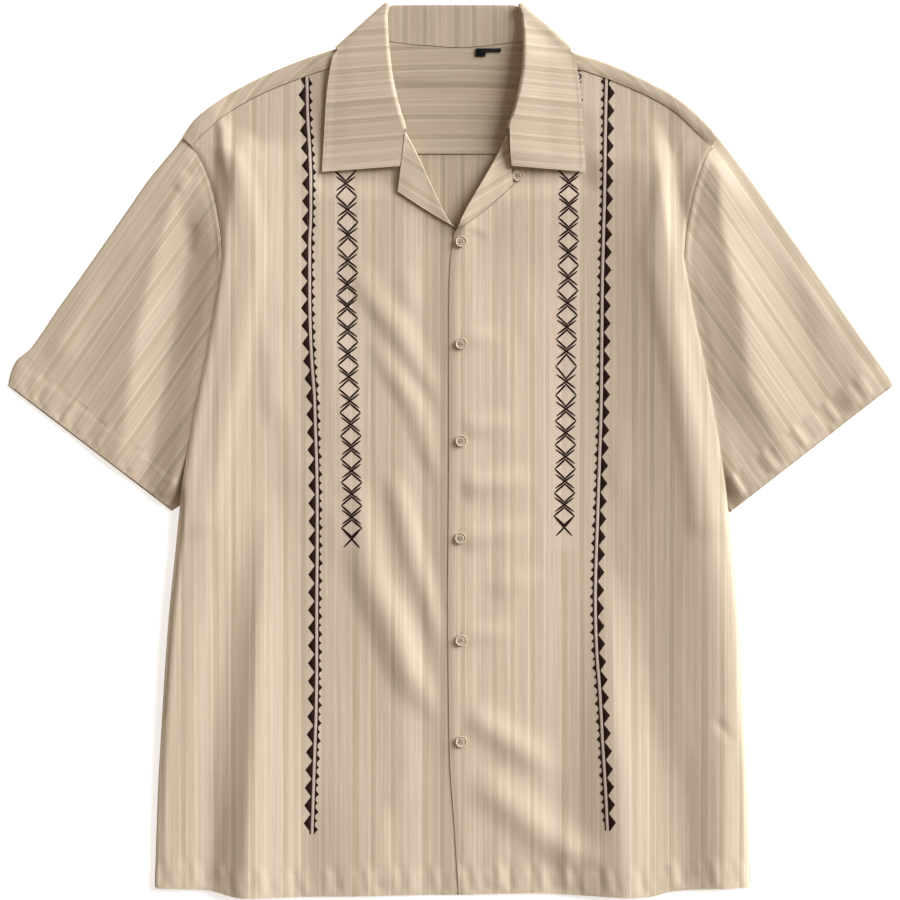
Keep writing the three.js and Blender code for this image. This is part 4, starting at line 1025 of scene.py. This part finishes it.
def thread_and_shadow_look(name, colour, sheen, ribs):
    thread = Nodes(name)
    fine = thread.grain(thread.place(), (900, ribs))
    shade = thread.plus(thread.times(fine, 0.7), 0.62)
    thread.surface({
        "Base Color": thread.mix_colour(1.0, (*colour, 1), shade, "MULTIPLY"),
        "Normal": thread.bump(fine, 0.6, 0.0003), "Roughness": 0.55, "Sheen Weight": sheen,
        "Specular IOR Level": 0.12})
    return thread.material


DARK_THREAD = thread_and_shadow_look("dark_thread", (0.020, 0.0062, 0.0035), 0.0, 2600)
PALE_THREAD = thread_and_shadow_look("pale_thread", (0.60, 0.485, 0.405), 0.05, 1800)
SEWING_THREAD = thread_and_shadow_look("sewing_thread", (0.56, 0.45, 0.325), 0.1, 1500)
BUTTON_THREAD = thread_and_shadow_look("button_thread", (0.30, 0.22, 0.145), 0.0, 1500)
# Painted shadow: dark strips laid beside seams and under the lapels' edges, where shade falls.
PAINTED_SEAM_SHADOW = thread_and_shadow_look("painted_seam_shadow", (0.25, 0.175, 0.115), 0.0, 1500)


class StitchingAndShadowStrips:
    """Collects small raised shapes of thread that lie on the cloth, and strips of painted seam shadow."""

    def __init__(self):
        self.places, self.faces = [], []

    def add(self, places, faces):
        start = len(self.places)
        self.places.extend(places)
        self.faces.extend([start + k for k in face] for face in faces)

    def strip(self, centre, width, rise, on):
        """A round-backed line of thread along a chain of points, pointed at both ends. The strips of painted
        seam shadow are made the same way.
        """
        centre = np.asarray(centre, float)
        run = np.gradient(centre, axis=0)
        side = unit(np.stack([-run[:, 1], run[:, 0]], -1)) * np.broadcast_to(width, len(centre))[:, None] / 2
        places = []
        for (lx, ly), (cx, cy), (rx, ry) in zip(centre + side, centre, centre - side):
            heights = on(np.array([lx, cx, rx]), np.array([ly, cy, ry]))
            places += [(lx, ly, heights[0]), (cx, cy, heights[1] + rise), (rx, ry, heights[2]),
                       (cx, cy, heights[1] - 0.2)]
        faces = [[0, 3, 2, 1]]
        for a in range(0, 4 * len(centre) - 4, 4):
            faces += [[a + j, a + (j + 1) % 4, a + 4 + (j + 1) % 4, a + 4 + j] for j in range(4)]
        last = 4 * len(centre) - 4
        faces.append([last, last + 1, last + 2, last + 3])
        self.add(places, faces)

    def patch(self, corners, rise, on, steps=3):
        """A padded patch of satin stitch with the given corners."""
        corners = np.asarray(corners, float)
        rim = np.array([start + (end - start) * j / steps
                        for start, end in zip(corners, np.roll(corners, -1, axis=0)) for j in range(steps)])
        middle = corners.mean(0)
        inner = middle + (rim - middle) * 0.6
        rings = [(rim, 0.0), (inner, rise), (middle[None], rise * 1.15)]
        places = [(x, y, z + up) for ring, up in rings
                  for (x, y), z in zip(ring, on(ring[:, 0], ring[:, 1]))]
        n = len(rim)
        faces = [[k, (k + 1) % n, n + (k + 1) % n, n + k] for k in range(n)]
        faces += [[n + k, n + (k + 1) % n, 2 * n] for k in range(n)]
        faces.append(list(range(n - 1, -1, -1)))
        self.add(places, faces)

    def done(self, name, look, slot):
        piece = flat_shape(name, self.places, self.faces)
        bpy.context.view_layer.objects.active = piece
        piece.select_set(True)
        bpy.ops.object.mode_set(mode="EDIT")
        bpy.ops.mesh.select_all(action="SELECT")
        bpy.ops.mesh.normals_make_consistent(inside=False)
        bpy.ops.object.mode_set(mode="OBJECT")
        finish(piece, look, slot, sharp=75)


def on_front(side, lift=0.02):
    return lambda x, y: front_height(side, x, y) + THICKNESS / 2 + lift


def embroider(side):
    away = AWAY[side]
    dark, pale, on = StitchingAndShadowStrips(), StitchingAndShadowStrips(), on_front(side)
    table, first = BAND[side], FIRST_TOOTH[side]
    y = np.arange(table[0, 0], table[-1, 0], LINE_STEP)
    x = column_x(table, y)
    pale.strip(np.stack([x, y], -1), PALE_LINE, 0.34, on)
    for offset in (-1, 1):
        dark.strip(np.stack([x + offset * (PALE_LINE + DARK_LINE) / 2, y], -1), DARK_LINE, 0.32, on)
    # Teeth on the outer side, the top one cut by the seam.
    tip = first
    while tip > table[0, 0] + 6:
        at = column_x(table, np.array([tip + TOOTH_HALF, tip, tip - TOOTH_HALF]))
        dark.patch([(at[0] + away * TOOTH_IN, tip + TOOTH_HALF), (at[2] + away * TOOTH_IN, tip - TOOTH_HALF),
                    (at[1] + away * TOOTH_OUT, tip)], 0.42, on)
        tip -= TOOTH_PITCH
    top = first + TOOTH_PITCH / 2
    at = column_x(table, top + 4)
    dark.patch([(at + away * TOOTH_IN, top + 0.4), (at + away * (TOOTH_OUT - 2.2), top + 6.3),
                (at + away * TOOTH_IN, top + 8.6)], 0.4, on)
    # Bumps on the inner side, large and small by turns.
    tip, number = first + 10.5, 0
    while tip > table[0, 0] + 3:
        size = BUMP_SIZES[number % 2]
        at = column_x(table, tip)
        dark.patch([(at - away * TOOTH_IN, tip + size * 0.85), (at - away * TOOTH_IN, tip - size * 0.85),
                    (at - away * (TOOTH_IN + size * 0.75), tip - 0.4)], 0.36, on, steps=2)
        tip -= BUMP_PITCH
        number += 1

    def stroke(x0, y0, x1, y1):
        share = np.linspace(0, 1, len(STROKE_SHAPE))
        line = np.stack([x0 + (x1 - x0) * share, y0 + (y1 - y0) * share], -1)
        dark.strip(line, STROKE * STROKE_SHAPE, 0.42, on)

    def cross(cx, cy, wide, high):
        for way in (-1, 1):
            stroke(cx + way * wide, cy + high, cx - way * wide, cy - high)

    # The column of diamonds and crosses.
    for (low, lx), (cy, cx) in zip(LATTICE[side][:-1], LATTICE[side][1:]):
        cross(cx, cy, *CROSS)
        mx, half = (cx + lx) / 2, (cy + low) / 2
        for way in (-1, 1):
            corner = mx + way * DIAMOND_HALF
            stroke(cx - way * 0.6, cy - 1.9, corner, half)
            stroke(corner, half, lx - way * 0.6, low + 1.7)
    low, lx = LATTICE[side][0]
    cross(lx, low, *FOOT_CROSS)
    dark.done(f"embroidery_dark_{side}", DARK_THREAD, "dark_thread")
    pale.done(f"embroidery_pale_{side}", PALE_THREAD, "pale_thread")


embroider("right")
embroider("left")

# ---------------------------------------------------------------------------------------
# The sewing: rows of lock stitch in matching thread along hems, edges and seams, and strips of painted
# shadow beside seams and edges.

PITCH, STITCH, THREAD = 2.6, 1.9, 0.42
SEAM_SHADOW_WIDTH = 0.6                 # width of a strip of painted shadow along a seam or edge


def sew(thread, line, up=1):
    """A row of short stitches along a chain of points, on the upper or the lower side."""
    line = np.asarray(line, float)
    length = run_length(line)
    count = int(length[-1] / PITCH)
    over = np.array([0, 0, up * THREAD * 0.55])
    around = [(j, (j + 1) % 4) for j in range(4)]
    for k in range(count):
        start = (k + 0.5) * length[-1] / count - STITCH / 2
        first, last = (np.array([np.interp(at, length, column) for column in line.T])
                       for at in (start, start + STITCH))
        side = unit(np.cross((0, 0, up), unit(last - first))) * (THREAD / 2)
        places = [first - over * 0.5]
        for share in (0.2, 0.8):
            middle = first + (last - first) * share
            places += [middle + side, middle + over, middle - side, middle - over]
        places.append(last - over * 0.5)
        faces = [[0, 1 + i, 1 + j] for i, j in around]
        faces += [[1 + i, 5 + i, 5 + j, 1 + j] for i, j in around]
        faces += [[9, 5 + j, 5 + i] for i, j in around]
        thread.add([tuple(place) for place in places], faces)


def surface_line(piece, plan, up=1, lift=0.05):
    """Drops a chain of plan points onto a piece, from above or from below."""
    bpy.context.view_layer.update()
    points = []
    for x, y in plan:
        start = Vector((x * MM, y * MM, up * 0.08))
        hit, place, _, _ = piece.ray_cast(start, Vector((0, 0, -up)))
        if hit:
            points.append((x, y, place.z / MM + up * lift))
    return np.array(points)


def offset_line(points, by):
    """The chain of plan points moved sideways, to its left."""
    points = np.asarray(points, float)
    run = np.gradient(points, axis=0)
    return points + unit(np.stack([-run[:, 1], run[:, 0]], -1)) * by


def paint_seam_shadow(seam_shadow_strips, line):
    """Lays a strip of painted shadow along a chain of points beside a seam or edge."""
    heights = iter(line[:, 2])
    seam_shadow_strips.strip(line[:, :2], SEAM_SHADOW_WIDTH, 0.1, lambda x, y: np.full(3, next(heights)))


def sew_through(thread, over, under, plan):
    """A row of stitches that shows on top of one piece and below another."""
    sew(thread, surface_line(over, plan))
    sew(thread, surface_line(under, plan, up=-1), up=-1)


def sew_side(rows, seam_shadow_strips, side, front, sleeve, lapel):
    away = AWAY[side]
    s = np.linspace(0.005, 0.995, 90)
    hem_y = hem_edge(side, s) + HEM_DEPTH - HEM_STITCH
    outer = side_edge(side, hem_y[0])
    sew_through(rows, front, back, np.stack([outer + (inner_edge(side, hem_y[-1]) - outer) * s, hem_y], -1))
    # The cuff, on both layers of the sleeve.
    plan = sleeve_plan(side, np.linspace(0.02, 0.98, 70), np.linspace(0, 1, 60))
    from_cuff = distance(plan[-1, 35], plan[:, 35])
    row = np.argmin(np.abs(from_cuff - CUFF_DEPTH + HEM_STITCH))
    sew_through(rows, sleeve, sleeve, plan[row])
    # The lapel's edge, the armhole and the forward shoulder seam, with strips of painted shadow under the
    # lapel's edge, on the sleeve along the armhole and at the forward seam.
    line = lapel_line(side, np.linspace(0.04, 0.93, 50))
    sew(rows, surface_line(lapel, offset_line(line, -2.7 * away)))
    line = lapel_line(side, np.linspace(0.0, 0.97, 60))
    paint_seam_shadow(seam_shadow_strips, surface_line(front, offset_line(line, 0.7 * away)))
    y = np.linspace(172, 272, 60)
    paint_seam_shadow(seam_shadow_strips, surface_line(sleeve, np.stack([side_edge(side, y) + away * 0.6, y], -1)))
    stations = shoulder_stations(side, np.linspace(0.01, 0.98, 90))
    fold, seam = stations[:, :2], stations[:, 2:]
    paint_seam_shadow(seam_shadow_strips, surface_line(front, seam + unit(seam - fold) * 0.5))
    sew(rows, surface_line(yoke, seam + (fold - seam) * 0.16))
    # The leaf of the collar: along its outer edge and its free end.
    roll, high = (line[:LEAF_SECTIONS, :2] for line in collar_half(away)[:2])
    end = offset_line(np.linspace(high[0], roll[0], 40), -6.3 * away)[3:]
    edge = high + unit(roll - high) * 3.2
    sew(rows, surface_line(collar, edge[distance(edge, end[0]) > 0.1][3:58]))
    sew(rows, surface_line(collar, end[:-1]))


def level_line(x0, x1, count, y):
    x = np.linspace(x0, x1, count)
    return np.stack([x, y(x) if callable(y) else np.full(count, y)], -1)


def sew_all():
    rows, seam_shadow_strips = StitchingAndShadowStrips(), StitchingAndShadowStrips()
    sew_side(rows, seam_shadow_strips, "right", front_right, sleeve_right, lapel_right)
    sew_side(rows, seam_shadow_strips, "left", front_left, sleeve_left, lapel_left)
    # Across the back: the yoke seam and the neck seam, seen through the neck, and a strip of painted shadow
    # along the yoke seam.
    sew(rows, surface_line(back, level_line(-40, 46, 40, YOKE_SEAM_Y - 3.0)))
    sew(rows, surface_line(yoke, level_line(-52, 60, 50, lambda x: back_neck(x) - GAP - 2.4)))
    paint_seam_shadow(seam_shadow_strips, surface_line(back, level_line(-46, 52, 60, YOKE_SEAM_Y - 0.5)))
    rows.done("seam_stitches", SEWING_THREAD, "sewing_thread")
    seam_shadow_strips.done("painted_seam_shadows", PAINTED_SEAM_SHADOW, "sewing_thread")


sew_all()

# ---------------------------------------------------------------------------------------
# The buttons: moulded discs with a raised rim and four holes, each sewn on with thread,
# over a buttonhole bound in close stitches.

BUTTON_NAMES = [f"button_{k}" for k in range(1, 7)] + ["button_neck"]
BUTTON_RADIUS, BUTTON_DEPTH, BUTTON_RIM = 5, 2.2, 0.8
BUTTON_SEAT = 0.55
HOLE_OFFSET, HOLE_RADIUS = 1.15, 0.6
GROOVE = [(0.35, -0.75), (0.55, 0.0), (0.35, 0.4)]      # steps from the rim to the raised middle
BUTTONHOLE = {"aside": 0.5, "up": 1.6, "half_width": 1.0, "half_length": 7.2}


def button_look():
    resin = Nodes("button_resin")
    place = resin.place()
    cloud, fleck = resin.noise(place, 420, 3.0), resin.noise(place, 2600)
    share = resin.plus(resin.times(cloud, 0.7), resin.times(fleck, 0.3))
    resin.surface({
        "Base Color": resin.mix_colour(share, (0.50, 0.40, 0.28, 1), (0.68, 0.57, 0.42, 1)),
        "Normal": resin.bump(fleck, 0.15, 0.0001), "Roughness": 0.38, "Coat Weight": 0.2})
    return resin.material


def select_faces(piece, chosen):
    """Selects the faces of the piece in edit mode for which chosen(face) is true."""
    shape = bmesh.from_edit_mesh(piece.data)
    for face in shape.faces:
        face.select_set(chosen(face))
    bmesh.update_edit_mesh(piece.data)


def shirt_button():
    bpy.ops.mesh.primitive_cylinder_add(
        vertices=40, radius=BUTTON_RADIUS * MM, depth=BUTTON_DEPTH * MM,
        location=(0, 0, BUTTON_DEPTH / 2 * MM))
    disc = bpy.context.object
    bpy.ops.object.transform_apply(location=True)
    bpy.ops.object.mode_set(mode="EDIT")
    bpy.ops.mesh.select_mode(type="FACE")
    bpy.ops.mesh.select_all(action="DESELECT")
    select_faces(disc, lambda face: face.normal.z > 0.9)
    bpy.ops.mesh.inset(thickness=BUTTON_RIM * MM)
    for step, depth in GROOVE:
        bpy.ops.mesh.inset(thickness=step * MM, depth=depth * MM)
    bpy.ops.mesh.select_all(action="DESELECT")
    select_faces(disc, lambda face: face.normal.z < -0.9)
    bpy.ops.mesh.inset(thickness=0.7 * MM)
    bpy.ops.object.mode_set(mode="OBJECT")
    disc.select_set(False)
    drills = []
    for x in (-HOLE_OFFSET, HOLE_OFFSET):
        for y in (-HOLE_OFFSET, HOLE_OFFSET):
            bpy.ops.mesh.primitive_cylinder_add(
                vertices=14, radius=HOLE_RADIUS * MM, depth=6 * MM, location=(x * MM, y * MM, 1 * MM))
            drills.append(bpy.context.object)
    for drill in drills:
        drill.select_set(True)
    bpy.ops.object.join()
    drill = bpy.context.object
    drill.select_set(False)
    cut = disc.modifiers.new("holes", "BOOLEAN")
    cut.object, cut.operation, cut.solver = drill, "DIFFERENCE", "EXACT"
    soften = disc.modifiers.new("soften", "BEVEL")
    soften.width, soften.segments, soften.limit_method = 0.16 * MM, 2, "ANGLE"
    soften.angle_limit = math.radians(38)
    bpy.context.view_layer.objects.active = disc
    for modifier in ("holes", "soften"):
        bpy.ops.object.modifier_apply(modifier=modifier)
    bpy.data.objects.remove(drill)
    return disc


def sew_on(thread, x, y, seat):
    """Two loops of thread through a button's holes."""
    share = np.linspace(-1.15, 1.15, 9)
    bow = seat + 1.82 + 0.32 * np.cos(share * math.pi / 2.3)
    line_y = y + share * HOLE_OFFSET
    for across in (-HOLE_OFFSET, HOLE_OFFSET):
        line = np.stack([np.full(len(share), x + across), line_y], -1)
        thread.strip(line, 0.5, 0.2, lambda px, py: np.interp(py, line_y, bow))


def buttonhole(thread, x, y):
    """Close stitches all round a long slot."""
    turn = np.linspace(0, 2 * math.pi, 49)[:-1]
    across = np.sign(np.cos(turn)) * np.abs(np.cos(turn)) ** 0.5
    along = np.sign(np.sin(turn)) * np.abs(np.sin(turn)) ** 0.7
    ring = np.stack([x + BUTTONHOLE["aside"] + BUTTONHOLE["half_width"] * across,
                     y + BUTTONHOLE["up"] + BUTTONHOLE["half_length"] * along], -1)
    thread.strip(ring, 0.8, 0.22, on_front("left"))


BUTTON_LOOK = button_look()
pattern = shirt_button()
sewn, holes = StitchingAndShadowStrips(), StitchingAndShadowStrips()
for node in BUTTON_NAMES:
    low, high = (np.array(corner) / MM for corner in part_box(node))
    x, y = (low[:2] + high[:2]) / 2
    button = bpy.data.objects.new(node.replace("button", "shirt_button"), pattern.data.copy())
    bpy.context.scene.collection.objects.link(button)
    seat = front_height("left", x, y) + BUTTON_SEAT
    button.data.transform(Matrix.Translation((x * MM, y * MM, seat * MM)))
    finish(button, BUTTON_LOOK, "button_plastic", sharp=40)
    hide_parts(node)
    sew_on(sewn, x, y, seat)
    if node != "button_neck":
        buttonhole(holes, x, y)
bpy.data.objects.remove(pattern)
sewn.done("button_threads", BUTTON_THREAD, "sewing_thread")
holes.done("buttonholes", SEWING_THREAD, "sewing_thread")

# ---------------------------------------------------------------------------------------
# The neck label: a short tab of dark satin ribbon that goes on as a narrow strip along the
# neck seam. It is blank.

LABEL = {"left": 22.6, "right": 45.5, "top": 361.0, "tab": 9.0, "tab_drop": 7.4, "strip_drop": 3.4}
LABEL_DEPTH = 0.55


def label_look():
    satin = Nodes("dark_label")
    grain = satin.grain(satin.place(), (500, 3200))
    satin.surface({
        "Base Color": satin.mix_colour(grain, (0.002, 0.0017, 0.0016, 1), (0.010, 0.0085, 0.008, 1)),
        "Normal": satin.bump(grain, 0.4, 0.0002), "Roughness": 0.7, "Specular IOR Level": 0.15})
    return satin.material


def neck_label():
    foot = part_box("neck_label")[0][2] / MM
    width, drop = LABEL["right"] - LABEL["left"], LABEL["strip_drop"]
    bpy.ops.mesh.primitive_cube_add(size=1, location=(
        (LABEL["left"] + width / 2) * MM, (LABEL["top"] - drop / 2) * MM, (foot + 0.4) * MM))
    tab = bpy.context.object
    tab.scale = (width * MM, drop * MM, LABEL_DEPTH * MM)
    bpy.ops.object.transform_apply(location=True, scale=True)
    bpy.ops.object.mode_set(mode="EDIT")
    bpy.ops.mesh.select_mode(type="FACE")
    bpy.ops.mesh.select_all(action="SELECT")
    limit = (LABEL["left"] + LABEL["tab"]) * MM
    bpy.ops.mesh.bisect(plane_co=(limit, 0, 0), plane_no=(1, 0, 0))
    bpy.ops.mesh.select_all(action="DESELECT")
    select_faces(tab, lambda face: face.normal.y < -0.9 and face.calc_center_median().x < limit)
    bpy.ops.mesh.extrude_region_move(
        TRANSFORM_OT_translate={"value": (0, -(LABEL["tab_drop"] - drop) * MM, 0)})
    bpy.ops.object.mode_set(mode="OBJECT")
    soften = tab.modifiers.new("soften", "BEVEL")
    soften.width, soften.segments = 0.22 * MM, 2
    tab.name = tab.data.name = "dark_label"
    finish(tab, label_look(), "dark_label", "soften", sharp=40)
    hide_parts("neck_label")


neck_label()

# ---------------------------------------------------------------------------------------
# The floor, the lights and the camera. Soft light comes low from the upper right.

bpy.ops.mesh.primitive_plane_add(size=6, location=(0, 0, 0))
floor = bpy.context.object
floor.name = "floor"
floor.select_set(False)
paper = Nodes("pale_floor")
paper.surface({
    "Base Color": (0.93, 0.93, 0.925, 1), "Roughness": 0.9,
    "Emission Color": (1.0, 1.0, 1.0, 1), "Emission Strength": 0.6})
floor.data.materials.append(paper.material)

CAMERA_LENS, CAMERA_SENSOR, FRAME_WIDTH = 85, 36, 0.81
camera_data = bpy.data.cameras.new("camera")
camera_data.lens = CAMERA_LENS
camera_data.sensor_width = CAMERA_SENSOR
camera = bpy.data.objects.new("camera", camera_data)
camera.location = (-0.00045, -0.00045, 0.003 + FRAME_WIDTH * CAMERA_LENS / CAMERA_SENSOR)
bpy.context.scene.collection.objects.link(camera)
bpy.context.scene.camera = camera

LIGHTS = {
    # direction it comes from, how wide it looks in degrees, strength, colour
    "key": ((1.9, 1.1, 0.88), 46, 6.4, (0.945, 1.005, 1.07)),
    "fill": ((-1.2, 0.5, 2.2), 60, 0.16, (1.0, 0.93, 0.86)),
}
for name, (place, width, strength, colour) in LIGHTS.items():
    lamp = bpy.data.lights.new(name, "SUN")
    lamp.angle, lamp.energy, lamp.color = math.radians(width), strength, colour
    light = bpy.data.objects.new(name, lamp)
    light.location = place
    light.rotation_euler = (-Vector(place)).to_track_quat("-Z", "Y").to_euler()
    bpy.context.scene.collection.objects.link(light)
world = bpy.data.worlds.new("studio")
world.use_nodes = True
background = world.node_tree.nodes["Background"].inputs
background["Color"].default_value = (1.0, 0.80, 0.64, 1)
background["Strength"].default_value = 0.255
bpy.context.scene.world = world
bpy.context.scene.view_settings.view_transform = "Standard"
